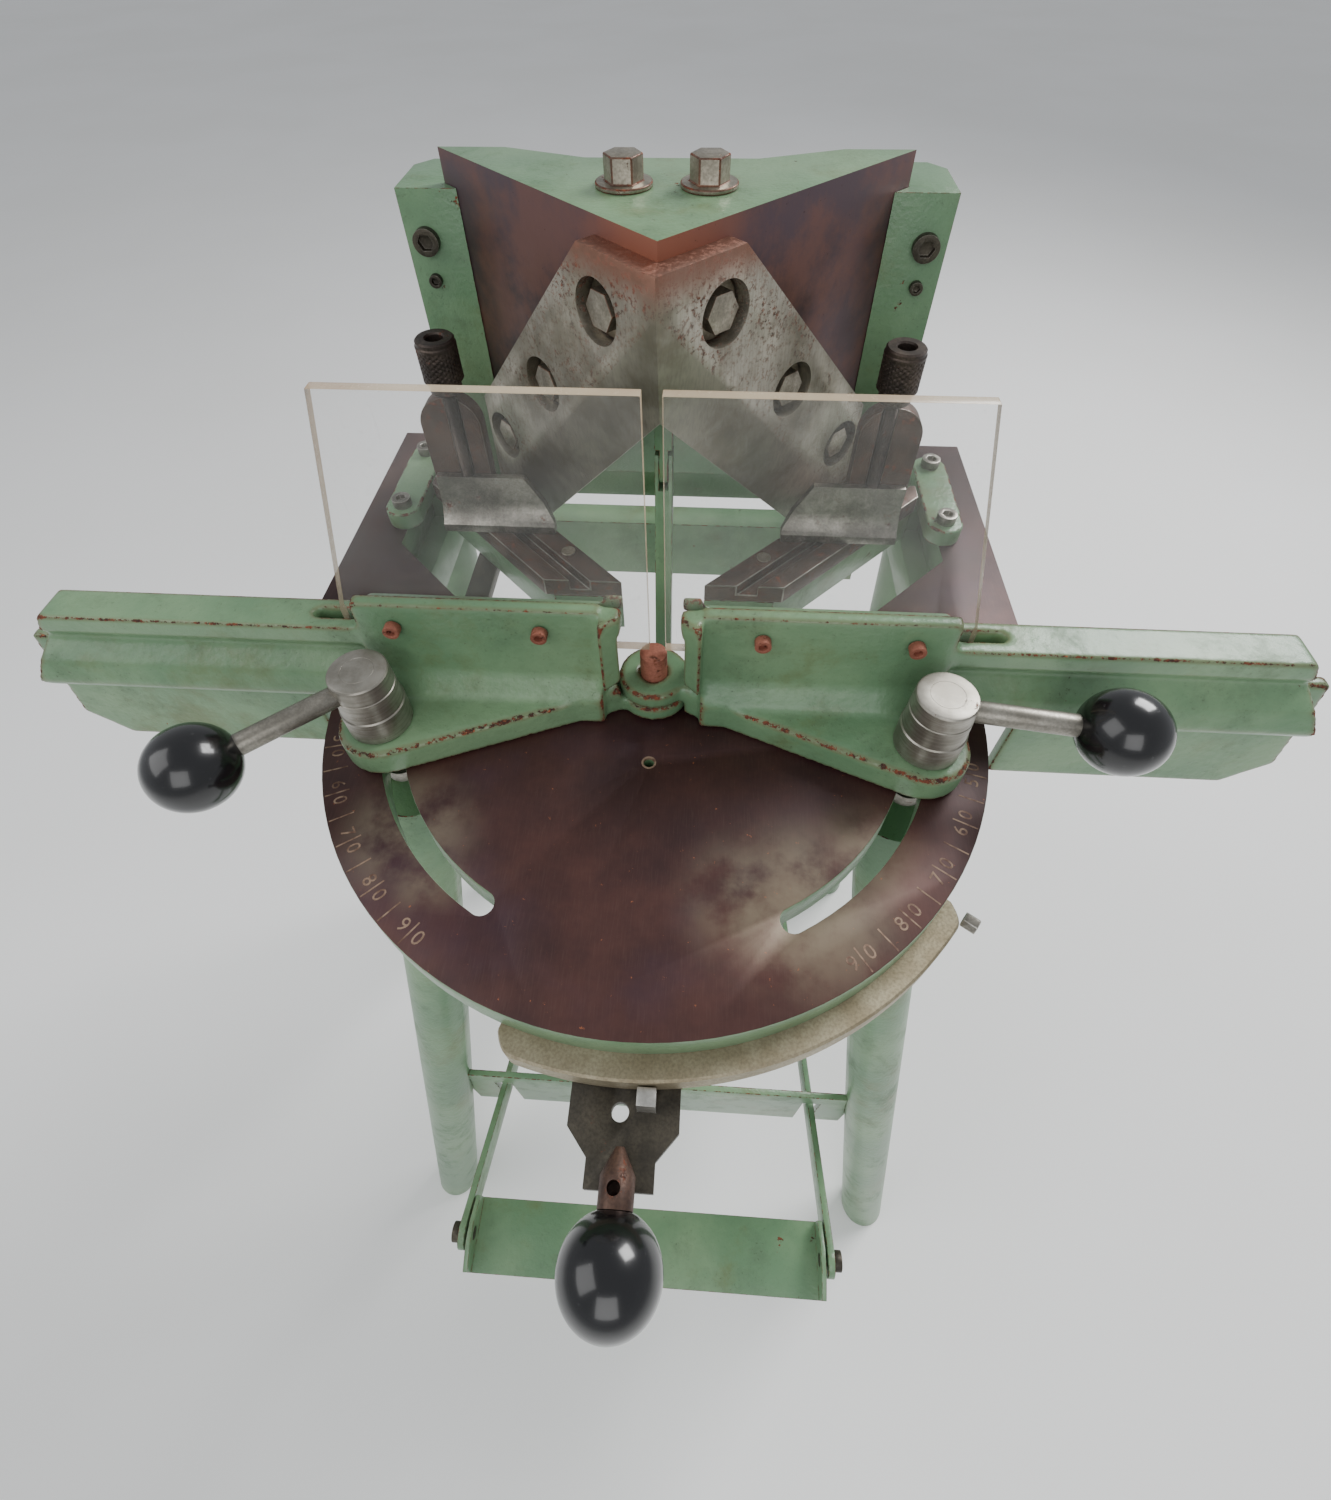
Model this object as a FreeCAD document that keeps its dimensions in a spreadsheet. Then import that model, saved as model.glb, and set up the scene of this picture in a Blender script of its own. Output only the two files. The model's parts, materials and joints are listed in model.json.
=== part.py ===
"""Foot-operated mitre guillotine for picture-frame moulding, as a parametric assembly.

Frame: origin on the floor under the pivot of the two fences, +Z up, +X to the operator's right and
+Y away from the operator. Millimetres and degrees. Every driving size is a cell of the sheet `sizes`.
"""
import FreeCAD, Part
import math
import os
from types import SimpleNamespace

import Sketcher

SIZES = {
    # table casting
    "table_height": 840, "table_radius": 200, "table_thickness": 20,
    "wing_reach": 240, "wing_neck_y": 20, "wing_flare_y": 60, "wing_end_y": 150,
    "opening_front_y": 5, "opening_offset": 65,
    "clamp_slot_radius": 160, "clamp_slot_width": 13, "clamp_slot_start": 9, "clamp_slot_end": 60.5,
    "gauge_hole_y": -50, "gauge_hole_radius": 3.3,
    "rail_inner": 201, "rail_height": 60, "rail_rear_y": 285, "rear_tie_depth": 17.5, "ledge_width": 16,
    "ledge_drop": 28.3,
    # pivot stud and nut
    "stud_radius": 8, "stud_top": 40, "stud_bottom": -68, "nut_flats": 26, "nut_height": 12,
    # feed segment under the table's front edge
    "segment_inner": 188, "segment_outer": 212, "segment_height": 16,
    "segment_left": 18, "segment_right": 55, "stop_screw_radius": 4, "stop_screw_height": 8,
    # legs, web plate and rear crossbar
    "leg_radius": 25, "leg_top_x": 150, "leg_top_y": -34, "foot_x": 276, "foot_y": -188,
    "rear_leg_top_x": 214, "rear_leg_top_y": 250, "rear_foot_x": 262, "rear_foot_y": 272,
    "web_bottom": 236, "web_top": 350, "web_y": -128, "web_thickness": 6, "web_reach": 206,
    "web_slot_half": 9, "web_slot_top": 322,
    "crossbar_front_y": 288, "crossbar_thickness": 12, "crossbar_bottom": 60, "crossbar_height": 44,
    # treadle
    "treadle_pivot_y": 270, "treadle_pivot_z": 80, "treadle_shaft_radius": 9, "hub_radius": 15,
    "arm_x": 164, "arm_thickness": 6, "arm_depth": 26, "arm_reach": 602.4, "arm_angle": 28.78,
    "draw_bar_reach": 335, "draw_bar_radius": 8, "ear_thickness": 8,
    "tread_depth": 56, "tread_thickness": 4, "tread_ear_height": 30, "tread_bolt_radius": 5,
    # pull rod
    "rod_pin_y": 120, "rod_pin_z": 970, "block_pin_half": 20, "block_pin_radius": 6, "shackle_length": 40,
    "rod_width": 11, "rod_depth": 16,
    "eye_half_width": 19, "eye_up": 24, "eye_down": 26, "eye_wall": 9,
    # carriage
    "apex_y": 80, "pad_front_y": 205, "pad_rear_y": 285, "pad_gap": 0.5, "arm_bottom": -28,
    "carriage_arm_inner": 56, "carriage_arm_outer": 8, "console_top": 2, "bar_front_y": 84,
    "bar_rear_y": 204, "bar_inner": 56, "bar_outer": 2, "bar_thickness": 14,
    "bar_groove_low": 20, "bar_groove_high": 34, "bar_groove_depth": 8, "bar_screw_radius": 5,
    "seat_width": 22, "seat_floor": 6, "post_inner": 128, "post_outer": 165, "post_front_y": 207,
    "post_rear_y": 262, "post_top": 211,
    "guide_screw_x": 152, "guide_screw_z": 183, "guide_screw_radius": 8, "guide_screw_depth": 5,
    "guide_pin_z": 160, "guide_pin_radius": 4, "guide_pin_depth": 4,
    "wall_front_y": 236, "wall_top": -54, "wall_bottom": -112,
    "bridge_front_y": 232, "bridge_rear_y": 258, "bridge_bottom": 2, "bridge_top": 196,
    "feed_pin_x": 145, "feed_pin_radius": 6,
    "keeper_x": 204, "keeper_front_y": 151, "keeper_rear_y": 247, "keeper_width": 26,
    "keeper_thickness": 14, "keeper_screw_radius": 7,
    # knife block and knives
    "block_half_width": 137, "block_top": 229, "block_bottom_apex": 152, "block_rear_mid": 199,
    "pad_width": 40, "guide_gap": 0.5,
    "knife_thickness": 12, "knife_top": 220, "knife_flat": 47, "knife_length": 177,
    "knife_edge_apex": 138, "knife_end_top": 86, "knife_slope": 46, "bevel_height": 51,
    "bevel_run_out": 60, "edge_thickness": 1.5, "wedge_tip": 0.01,
    "knife_bolt_flats": 19, "knife_bolt_hole": 16.75, "knife_bolt_first_s": 35,
    "knife_bolt_first_z": 190, "knife_bolt_last_s": 157, "knife_bolt_last_z": 64,
    "top_bolt_x": 22, "top_bolt_y": 153, "top_bolt_flats": 18,
    # feed lever
    "lever_top": -40, "lever_thickness": 6, "lever_hub_radius": 22, "lever_bar_half": 20,
    "lever_head_half": 26.5, "lever_neck_half": 16, "lever_head_start": 168, "lever_head_end": 228,
    "lever_neck_start": 240, "lever_end": 252, "spindle_radius": 8, "spindle_tip": 236, "point_length": 11,
    "ball_radius": 22.5, "sight_radius": 4.2, "sight_left": 2, "sight_reach": 221,
    "lever_ball_reach": 280, "fork_slot_half": 9.5,
    # fences and guards
    "fence_face_y": 12, "guard_thickness": 6, "guard_slot_gap": 0.3, "guard_front_y": -2,
    "hump_inner": 16, "hump_outer": 164, "hump_height": 82, "rear_wall_height": 70, "rail_top": 63,
    "rail_end_top": 352, "rail_end_low": 386, "hanging_inner": 228, "hanging_outer": 404,
    "hanging_drop": -73, "foot_thickness": 20, "table_gap": 0.3,
    "boss_x": 154.2, "boss_y": -42.5, "boss_radius": 18, "boss_foot_radius": 25,
    "lug_radius": 21, "lug_thickness": 11.5, "clamp_rod_radius": 6, "clamp_reach": 88,
    "clamp_stud_radius": 5.9, "left_clamp_angle": 221, "right_clamp_angle": -7.3,
    "guard_bottom": 44, "guard_top": 200, "guard_left_inner": 2, "guard_right_inner": 7,
    "guard_outer_top": 144, "guard_outer_low": 176, "guard_screw_radius": 4.5,
    # rebate supports
    "support_left": 81, "support_right": 162, "support_front_y": 132, "support_height": 40,
    "bracket_top": 112, "bracket_left": 124, "bracket_right": 164,
    "bracket_front_y": 147, "bracket_thickness": 12, "support_screw_x": 140,
    "knob_radius": 12.5, "knob_bottom": 118, "knob_top": 152, "support_rod_radius": 4,
    # return spring
    "spring_x": 92, "spring_radius": 13, "spring_top": -96,
}


class Size:
    """A value together with the sheet expression that gives it, so that sums of sizes stay bound."""

    def __init__(self, value, text):
        self.value = float(value)
        self.text = text

    def __add__(self, other):
        other = as_size(other)
        return Size(self.value + other.value, f"({self.text} + {other.text})")

    def __sub__(self, other):
        other = as_size(other)
        return Size(self.value - other.value, f"({self.text} - {other.text})")

    def __mul__(self, other):
        other = as_size(other)
        return Size(self.value * other.value, f"({self.text} * {other.text})")

    def __truediv__(self, other):
        other = as_size(other)
        return Size(self.value / other.value, f"({self.text} / {other.text})")

    def __neg__(self):
        return Size(-self.value, f"(0 - {self.text})")

    def __radd__(self, other):
        return as_size(other) + self

    def __rsub__(self, other):
        return as_size(other) - self

    def __rmul__(self, other):
        return as_size(other) * self


def as_size(number):
    return number if isinstance(number, Size) else Size(number, f"({float(number)!r})")


def cos_of(angle):
    return Size(math.cos(math.radians(angle.value)), f"cos({angle.text} * 1deg)")


def sin_of(angle):
    return Size(math.sin(math.radians(angle.value)), f"sin({angle.text} * 1deg)")


def tan_of(angle):
    return Size(math.tan(math.radians(angle.value)), f"tan({angle.text} * 1deg)")


doc = FreeCAD.newDocument("mitre_guillotine")
sheet = doc.addObject("Spreadsheet::Sheet", "sizes")
for row, (alias, number) in enumerate(SIZES.items(), start=1):
    sheet.set(f"A{row}", alias)
    sheet.set(f"B{row}", str(number))
    sheet.setAlias(f"B{row}", alias)
doc.recompute()
size = SimpleNamespace(**{alias: Size(sheet.get(alias), f"sizes.{alias}") for alias in SIZES})
FLOOR = as_size(0)
TABLE = size.table_height

PLANES = {"XY": "XY_Plane", "XZ": "XZ_Plane", "YZ": "YZ_Plane"}
SUBPARTS = {}


def move_to(obj, x, y, z, rotation=None):
    """Place an object, with its position bound to the sheet."""
    x, y, z = as_size(x), as_size(y), as_size(z)
    base = FreeCAD.Vector(x.value, y.value, z.value)
    obj.Placement = FreeCAD.Placement(base, rotation or FreeCAD.Rotation())
    for axis, part in zip("xyz", (x, y, z)):
        obj.setExpression(f"Placement.Base.{axis}", part.text)
    return obj


def set_size(obj, **values):
    for name, number in values.items():
        number = as_size(number)
        setattr(obj, name, number.value)
        obj.setExpression(name, number.text)


def box(name, low, high):
    """A block between two corners."""
    low = [as_size(v) for v in low]
    high = [as_size(v) for v in high]
    solid = doc.addObject("Part::Box", name)
    set_size(solid, Length=high[0] - low[0], Width=high[1] - low[1], Height=high[2] - low[2])
    return move_to(solid, *low)


def turn_to(direction):
    return FreeCAD.Rotation(FreeCAD.Vector(0, 0, 1), FreeCAD.Vector(*direction))


def cylinder(name, radius, base, height, direction=(0, 0, 1)):
    solid = doc.addObject("Part::Cylinder", name)
    set_size(solid, Radius=radius, Height=height)
    return move_to(solid, *base, turn_to(direction))


def cone(name, base_radius, top_radius, base, height, direction=(0, 0, 1)):
    solid = doc.addObject("Part::Cone", name)
    set_size(solid, Radius1=base_radius, Radius2=top_radius, Height=height)
    return move_to(solid, *base, turn_to(direction))


def rod_between(name, radius, start, end):
    """A round bar from one point to another; its length and direction come from the two points."""
    start = [as_size(v) for v in start]
    end = [as_size(v) for v in end]
    span = [b - a for a, b in zip(start, end)]
    squares = " + ".join(f"{part.text} ^ 2" for part in span)
    direction = [part.value for part in span]
    length = Size(math.hypot(*direction), f"sqrt({squares})")
    return cylinder(name, radius, start, length, direction)


def hexagon(name, flats, base, height, direction=(0, 0, 1)):
    solid = doc.addObject("Part::Prism", name)
    solid.Polygon = 6
    set_size(solid, Circumradius=as_size(flats) / math.sqrt(3), Height=height)
    return move_to(solid, *base, turn_to(direction))


def ball(name, radius, centre):
    solid = doc.addObject("Part::Sphere", name)
    set_size(solid, Radius=radius)
    return move_to(solid, *centre)


def prism(name, plane, outline, start, length):
    """A Body whose one sketch is a closed polygon, padded along the plane's normal.

    outline gives each corner in the plane's own two axes; start is where the pad begins on the
    third axis. An XZ prism grows towards +Y, a YZ prism towards +X and an XY prism towards +Z.
    """
    body = doc.addObject("PartDesign::Body", name)
    sketch = body.newObject("Sketcher::SketchObject", f"{name}_outline")
    origin_plane = next(f for f in body.Origin.OriginFeatures if f.Role == PLANES[plane])
    sketch.AttachmentSupport = [(origin_plane, "")]
    sketch.MapMode = "FlatFace"
    corners = [(as_size(u), as_size(v)) for u, v in outline]
    points = [FreeCAD.Vector(u.value, v.value, 0) for u, v in corners]
    for begin, end in zip(points, points[1:] + points[:1]):
        sketch.addGeometry(Part.LineSegment(begin, end), False)
    count = len(points)
    for i in range(count):
        sketch.addConstraint(Sketcher.Constraint("Coincident", i, 2, (i + 1) % count, 1))
    for i, (u, v) in enumerate(corners):
        for kind, part in (("DistanceX", u), ("DistanceY", v)):
            index = sketch.addConstraint(Sketcher.Constraint(kind, -1, 1, i, 1, part.value))
            sketch.setExpression(f"Constraints[{index}]", part.text)
    pad = body.newObject("PartDesign::Pad", f"{name}_pad")
    pad.Profile = sketch
    pad.Reversed = plane == "XZ"
    set_size(pad, Length=length)
    places = {"XY": (0, 0, start), "XZ": (0, start, 0), "YZ": (start, 0, 0)}
    return move_to(body, *places[plane])


def fuse(name, *solids):
    joined = doc.addObject("Part::MultiFuse", name)
    joined.Shapes = list(solids)
    joined.Refine = True
    return joined


def cut(name, base, *tools):
    """Take the tools away from the base."""
    result = doc.addObject("Part::Cut", name)
    result.Base = base
    result.Tool = tools[0] if len(tools) == 1 else fuse(f"{name}_tools", *tools)
    return result


def common(name, first, second):
    result = doc.addObject("Part::Common", name)
    result.Base = first
    result.Tool = second
    return result


def group(name, *solids):
    """Several equal loose pieces, such as a set of screws, kept as one sub-part."""
    result = doc.addObject("Part::Compound", name)
    result.Links = list(solids)
    return result


def mirrored(name, source):
    """The same piece on the other side of the plane X = 0."""
    result = doc.addObject("Part::Mirroring", name)
    result.Source = source
    result.Base = FreeCAD.Vector(0, 0, 0)
    result.Normal = FreeCAD.Vector(1, 0, 0)
    return result


def subpart(node, obj):
    obj.Label = node
    SUBPARTS[node] = obj
    return obj


def both_sides(node, right):
    """Record a right-hand piece and its mirror image."""
    subpart(f"{node}_right", right)
    subpart(f"{node}_left", mirrored(f"{node}_mirror", right))


# ---------------------------------------------------------------- fixed frame
def table_casting():
    """Half-round table with two rear wings, a V opening, two clamp slots and the two slide rails."""
    top = TABLE
    bottom = TABLE - size.table_thickness
    disc = cylinder("table_disc", size.table_radius, (0, 0, bottom), size.table_thickness)
    back = -size.table_radius
    front_half = prism("table_front", "XY", [(back, back), (size.table_radius, back),
                       (size.table_radius, size.wing_neck_y), (back, size.wing_neck_y)],
                       bottom, size.table_thickness)
    plate = common("table_round", disc, front_half)
    reach, neck = size.wing_reach, size.table_radius
    wings = prism("table_wings", "XY", [
        (-neck, 0), (neck, 0), (neck, size.wing_neck_y), (reach, size.wing_flare_y),
        (reach, size.wing_end_y), (-reach, size.wing_end_y), (-reach, size.wing_flare_y),
        (-neck, size.wing_neck_y)], bottom, size.table_thickness)
    mouth = size.opening_front_y + size.opening_offset
    far = size.wing_end_y + 20
    flared = far + size.opening_offset
    opening = prism("table_opening", "XY", [(-mouth, size.opening_front_y), (mouth, size.opening_front_y),
                    (flared, far), (-flared, far)], bottom - 1, size.table_thickness + 2)
    tools = [opening]
    for side in (1, -1):
        tools += clamp_slot(f"slot_{side + 1}", side, bottom - 1, size.table_thickness + 2)
    tools.append(cylinder("stud_hole", size.stud_radius + 0.05, (0, 0, bottom - 1),
                 size.table_thickness + 2))
    tools.append(cylinder("gauge_hole", size.gauge_hole_radius, (0, size.gauge_hole_y, bottom - 1),
                          size.table_thickness + 2))
    slab = cut("table_slab", fuse("table_blank", plate, wings), *tools)
    inner = size.rail_inner
    rails = []
    for side, low, high in (("right", inner, reach), ("left", -reach, -inner)):
        rails.append(box(f"rail_{side}", (low, size.wing_flare_y, top - size.rail_height),
                         (high, size.rail_rear_y, top)))
    ledge = inner - size.ledge_width
    for side, low, high in (("right", ledge, inner), ("left", -inner, -ledge)):
        rails.append(box(f"ledge_{side}", (low, size.wing_flare_y, top - size.rail_height),
                         (high, size.rail_rear_y, top - size.ledge_drop)))
    rails.append(box("rear_tie", (-reach, size.rail_rear_y, top - size.rail_height),
                     (reach, size.rail_rear_y + size.rear_tie_depth, top - size.ledge_drop)))
    return fuse("table", slab, *rails)


def clamp_slot(name, side, bottom, height):
    """Cutting tools of one arc slot: a ring cut down to the slot's sector, and its two round ends."""
    radius, half = size.clamp_slot_radius, size.clamp_slot_width / 2
    ring = cut(f"{name}_ring", cylinder(f"{name}_outer", radius + half, (0, 0, bottom), height),
               cylinder(f"{name}_inner", radius - half, (0, 0, bottom), height))
    reach = radius * 3
    corners = [(0, 0)]
    for angle in (size.clamp_slot_start, size.clamp_slot_end):
        corners.append((cos_of(angle) * reach * side, -sin_of(angle) * reach))
    sector = prism(f"{name}_sector", "XY", corners, bottom, height)
    tools = [common(name, ring, sector)]
    for angle in (size.clamp_slot_start, size.clamp_slot_end):
        centre = (cos_of(angle) * radius * side, -sin_of(angle) * radius, bottom)
        tools.append(cylinder(f"{name}_end", half, centre, height))
    return tools


def feed_segment():
    """Arc of steel bar screwed under the table's front edge, on which the feed lever runs."""
    bottom = TABLE - size.table_thickness - size.segment_height
    height = size.segment_height
    middle = (size.segment_inner + size.segment_outer) / 2
    half = (size.segment_outer - size.segment_inner) / 2
    ring = cut("segment_ring", cylinder("segment_outside", size.segment_outer, (0, 0, bottom), height),
               cylinder("segment_inside", size.segment_inner, (0, 0, bottom), height))
    reach = size.segment_outer * 2
    left = (-sin_of(size.segment_left) * reach, -cos_of(size.segment_left) * reach)
    right = (sin_of(size.segment_right) * reach, -cos_of(size.segment_right) * reach)
    sector = prism("segment_sector", "XY", [(0, 0), left, right], bottom, height)
    ends = []
    for side, angle in ((-1, size.segment_left), (1, size.segment_right)):
        centre = (sin_of(angle) * middle * side, -cos_of(angle) * middle, bottom)
        ends.append(cylinder("segment_end", half, centre, height))
    return fuse("segment", common("segment_arc", ring, sector), *ends)


def stop_screw():
    """Hexagon stop screw on the outside of the segment's right end."""
    angle = size.segment_right
    reach = size.segment_outer + 0.2
    centre = (sin_of(angle) * reach, -cos_of(angle) * reach,
              TABLE - size.table_thickness - size.segment_height / 2)
    direction = (math.sin(math.radians(angle.value)), -math.cos(math.radians(angle.value)), 0)
    return hexagon("stop_screw", size.stop_screw_radius * 2, centre, size.stop_screw_height, direction)


def pivot_stud():
    """Stud on which both fences and the feed lever turn, with the nut that carries the lever."""
    low = TABLE + size.stud_bottom
    shaft = cylinder("stud_shaft", size.stud_radius, (0, 0, low), size.stud_top - size.stud_bottom)
    nut_top = TABLE + size.lever_top - size.lever_thickness - 0.3
    nut = hexagon("stud_nut", size.nut_flats, (0, 0, nut_top - size.nut_height), size.nut_height)
    return fuse("stud", shaft, nut)


def leg(name, top_x, top_y, foot_x, foot_y):
    """Splayed tube from under the table to the floor, cut flat where it stands."""
    top = (top_x, top_y, TABLE - size.rail_height + 40)
    foot = (foot_x, foot_y, 0 - size.leg_radius)
    tube = rod_between(f"{name}_tube", size.leg_radius, top, foot)
    room = size.leg_radius * 4
    below = box(f"{name}_floor", (foot_x - room, foot_y - room, 0 - room), (foot_x + room, foot_y + room,
                FLOOR))
    return cut(name, tube, below)


def front_leg():
    """Front leg with a flat head below the feed lever and a riser outside the clamp nut's path."""
    under = TABLE - size.table_thickness
    head_top = TABLE + size.lever_top - size.lever_thickness - 6
    head_low = head_top - 16
    slanted = leg("front_leg_tube", size.leg_top_x, size.leg_top_y, size.foot_x, size.foot_y)
    room = size.leg_radius * 4
    cap = box("front_leg_limit", (size.leg_top_x - room, size.leg_top_y - room, head_top),
              (size.leg_top_x + room, size.leg_top_y + room, under + room))
    riser_outer = size.table_radius - 4
    riser_inner = riser_outer - 20
    shelf = box("front_leg_shelf", (size.leg_top_x - 20, size.leg_top_y - 14, head_low),
                (riser_outer, size.leg_top_y + 26, head_top))
    riser = box("front_leg_riser", (riser_inner, size.leg_top_y - 6, head_low), (riser_outer,
                size.leg_top_y + 26, under))
    return fuse("front_leg", cut("front_leg_cut", slanted, cap), shelf, riser)


def rear_leg():
    slanted = leg("rear_leg_tube", size.rear_leg_top_x, size.rear_leg_top_y, size.rear_foot_x,
                  size.rear_foot_y)
    room = size.leg_radius * 4
    under = TABLE - size.rail_height
    cap = box("rear_leg_limit", (size.rear_leg_top_x - room, size.rear_leg_top_y - room, under),
              (size.rear_leg_top_x + room, size.rear_leg_top_y + room, under + room))
    return cut("rear_leg", slanted, cap)


def web_plate(*legs):
    """Plate between the front legs, slotted for the two treadle arms and cut to the legs' sides."""
    reach, slot = size.web_reach, size.web_slot_half
    low, high, roof = size.web_bottom, size.web_top, size.web_slot_top
    inner, outer = size.arm_x - slot, size.arm_x + slot
    outline = [(-reach, high), (-reach, low), (-outer, low), (-outer, roof), (-inner, roof), (-inner, low),
               (inner, low), (inner, roof), (outer, roof), (outer, low), (reach, low), (reach, high)]
    plate = prism("web_blank", "XZ", outline, size.web_y, size.web_thickness)
    return cut("web", plate, *legs)


def rear_crossbar(*legs):
    """Bar between the rear legs near the floor, with two ears for the treadle shaft."""
    front, low = size.crossbar_front_y, size.crossbar_bottom
    reach = size.rear_foot_x - size.leg_radius + 6
    bar = box("crossbar_bar", (-reach, front, low), (reach, front + size.crossbar_thickness,
              low + size.crossbar_height))
    ears = []
    inner = size.arm_x + size.arm_thickness / 2 + 1.5
    for side, start in ((1, inner), (-1, -inner - size.ear_thickness)):
        ears.append(box("crossbar_ear", (start, size.treadle_pivot_y - 16, low),
                        (start + size.ear_thickness, front, size.treadle_pivot_z + 18)))
    hole = cylinder("crossbar_hole", size.treadle_shaft_radius, (-reach, size.treadle_pivot_y,
                    size.treadle_pivot_z),
                    reach * 2, (1, 0, 0))
    return cut("crossbar", fuse("crossbar_blank", bar, *ears), hole, *legs)


def treadle_shaft():
    half = size.arm_x + size.arm_thickness / 2 + 1.5 + size.ear_thickness + 3
    return cylinder("treadle_axle", size.treadle_shaft_radius, (-half, size.treadle_pivot_y,
                    size.treadle_pivot_z),
                    half * 2, (1, 0, 0))


def keeper():
    """Stepped strap on the rail, with two socket screws, that holds the carriage's flange down."""
    low = TABLE
    half = size.keeper_width / 2
    front, rear = size.keeper_front_y + half, size.keeper_rear_y - half
    bar = box("keeper_bar", (size.keeper_x - half, front, low), (size.keeper_x + half, rear,
              low + size.keeper_thickness))
    ends = [cylinder("keeper_end", half, (size.keeper_x, y, low), size.keeper_thickness) for y in (front,
            rear)]
    return fuse("keeper", bar, *ends)


def keeper_screw(y):
    """Socket head screw standing on the keeper."""
    low = TABLE + size.keeper_thickness
    head = cylinder("keeper_screw_head", size.keeper_screw_radius, (size.keeper_x, y, low),
                    size.keeper_screw_radius)
    socket = hexagon("keeper_screw_socket", size.keeper_screw_radius, (size.keeper_x, y, low + 3),
                     size.keeper_screw_radius)
    return cut("keeper_screw", head, socket)


def keeper_screws():
    half = size.keeper_width / 2
    right = [keeper_screw(y) for y in (size.keeper_front_y + half, size.keeper_rear_y - half)]
    return group("keeper_screw_set", *right, *(mirrored("keeper_screw_mirror", s) for s in right))


def draw_bar_place():
    """Centre of the treadle's draw bar, in the side view."""
    y = size.treadle_pivot_y - cos_of(size.arm_angle) * size.draw_bar_reach
    z = size.treadle_pivot_z + sin_of(size.arm_angle) * size.draw_bar_reach
    return y, z


def spring_hanger():
    """Round hook bar under the table that holds the top of the return spring."""
    y, _ = draw_bar_place()
    low = TABLE + size.spring_top
    return cylinder("hanger", 5, (size.spring_x, y, low), TABLE - size.table_thickness - low)


def return_spring():
    """Long extension spring from the hanger down to the draw bar, as its outer envelope."""
    y, z = draw_bar_place()
    low = z + size.draw_bar_radius + 0.3
    top = TABLE + size.spring_top - 0.3
    return cylinder("spring", size.spring_radius, (size.spring_x, y, low), top - low)


# ---------------------------------------------------------------- carriage
def bar_outline(low, high, front, rear):
    """Plan of a strip at 45 degrees between two lines y - x = low and high, clear of the keeper."""
    limit = size.keeper_x - size.keeper_width / 2 - 3
    return [(front - high, front), (front - low, front), (limit, limit + low), (limit, rear),
            (rear - high, rear)]


def console_arm():
    """Arm at 45 degrees in front of a knife, open to the slide pad behind it."""
    outline = bar_outline(size.carriage_arm_outer, size.carriage_arm_inner, size.bar_front_y,
                          size.pad_front_y + 1)
    bottom = TABLE + size.arm_bottom
    return prism("console_arm", "XY", outline, bottom, size.console_top - size.arm_bottom)


def carriage_base():
    """Slide casting: two console arms, two flanged pads, posts' seats and the low rear wall."""
    outer = size.rail_inner - size.pad_gap
    bottom = TABLE + size.arm_bottom
    top = TABLE - 0.3
    pieces = []
    arm = console_arm()
    pad = box("slide_pad", (size.post_outer - size.seat_width, size.pad_front_y, bottom), (outer,
              size.pad_rear_y - 1, top))
    drop = box("pad_drop", (size.post_outer - size.seat_width, size.wall_front_y, TABLE + size.wall_bottom),
               (size.post_outer, size.post_rear_y, bottom + 5))
    for piece in (arm, pad, drop):
        pieces += [piece, mirrored(f"{piece.Name}_mirror", piece)]
    wall = box("rear_wall", (-size.post_outer, size.wall_front_y, TABLE + size.wall_bottom),
               (size.post_outer, size.post_rear_y, TABLE + size.wall_top))
    body = fuse("carriage_body", *pieces, wall)
    room = box("block_room", (-size.block_half_width - 3, (size.apex_y + size.block_half_width) - 40,
               TABLE - 300),
               (size.block_half_width + 3, size.post_rear_y - 10, TABLE + 300))
    seat = prism("post_seat", "XY", post_outline(), TABLE + size.arm_bottom + size.seat_floor, 200)
    relief = box("wall_keep", (-size.post_outer, size.wall_front_y, TABLE - 300),
                 (size.post_outer, size.post_rear_y, TABLE - 30))
    clear = cut("block_clearance", room, relief)
    return cut("carriage", body, seat, mirrored("post_seat_mirror", seat), clear)


def post_outline():
    """Plan of a right guide post, with the notch for the wing of the knife block."""
    face = size.post_front_y
    wing = size.apex_y
    notch = size.block_half_width + size.guide_gap
    return [(face - wing + size.guide_gap, face), (size.post_outer, face), (size.post_outer,
            size.post_rear_y - 12),
            (size.post_outer - 10, size.post_rear_y), (size.post_inner + 2, size.post_rear_y),
            (size.post_inner + 2, (size.apex_y + size.block_half_width) + size.guide_gap),
            (notch, (size.apex_y + size.block_half_width) + size.guide_gap), (notch,
                notch + wing - size.guide_gap)]


def guide_post():
    """Upright that guides one wing of the knife block."""
    low = size.arm_bottom + size.seat_floor
    return prism("post", "XY", post_outline(), TABLE + low, size.post_top - low)


def guide_bridge():
    """Cross member behind the block that ties the two posts."""
    half = size.post_inner + 2
    return box("bridge", (-half, size.bridge_front_y, TABLE + size.bridge_bottom),
               (half, size.bridge_rear_y, TABLE + size.bridge_top))


def guide_screw(z, radius, depth):
    """Socket screw head on a post's front face."""
    x, y = size.guide_screw_x, size.post_front_y - depth
    head = cylinder("guide_screw_head", radius, (x, y, TABLE + z), depth, (0, 1, 0))
    socket = hexagon("guide_screw_socket", radius * 1.1, (x, y - 1, TABLE + z), depth, (0, 1, 0))
    return cut("guide_screw", head, socket)


def guide_screws():
    upper = guide_screw(size.guide_screw_z, size.guide_screw_radius, size.guide_screw_depth)
    lower = guide_screw(size.guide_pin_z, size.guide_pin_radius, size.guide_pin_depth)
    right = [upper, lower]
    return group("guide_screw_set", *right, *(mirrored("guide_screw_mirror", s) for s in right))


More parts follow.
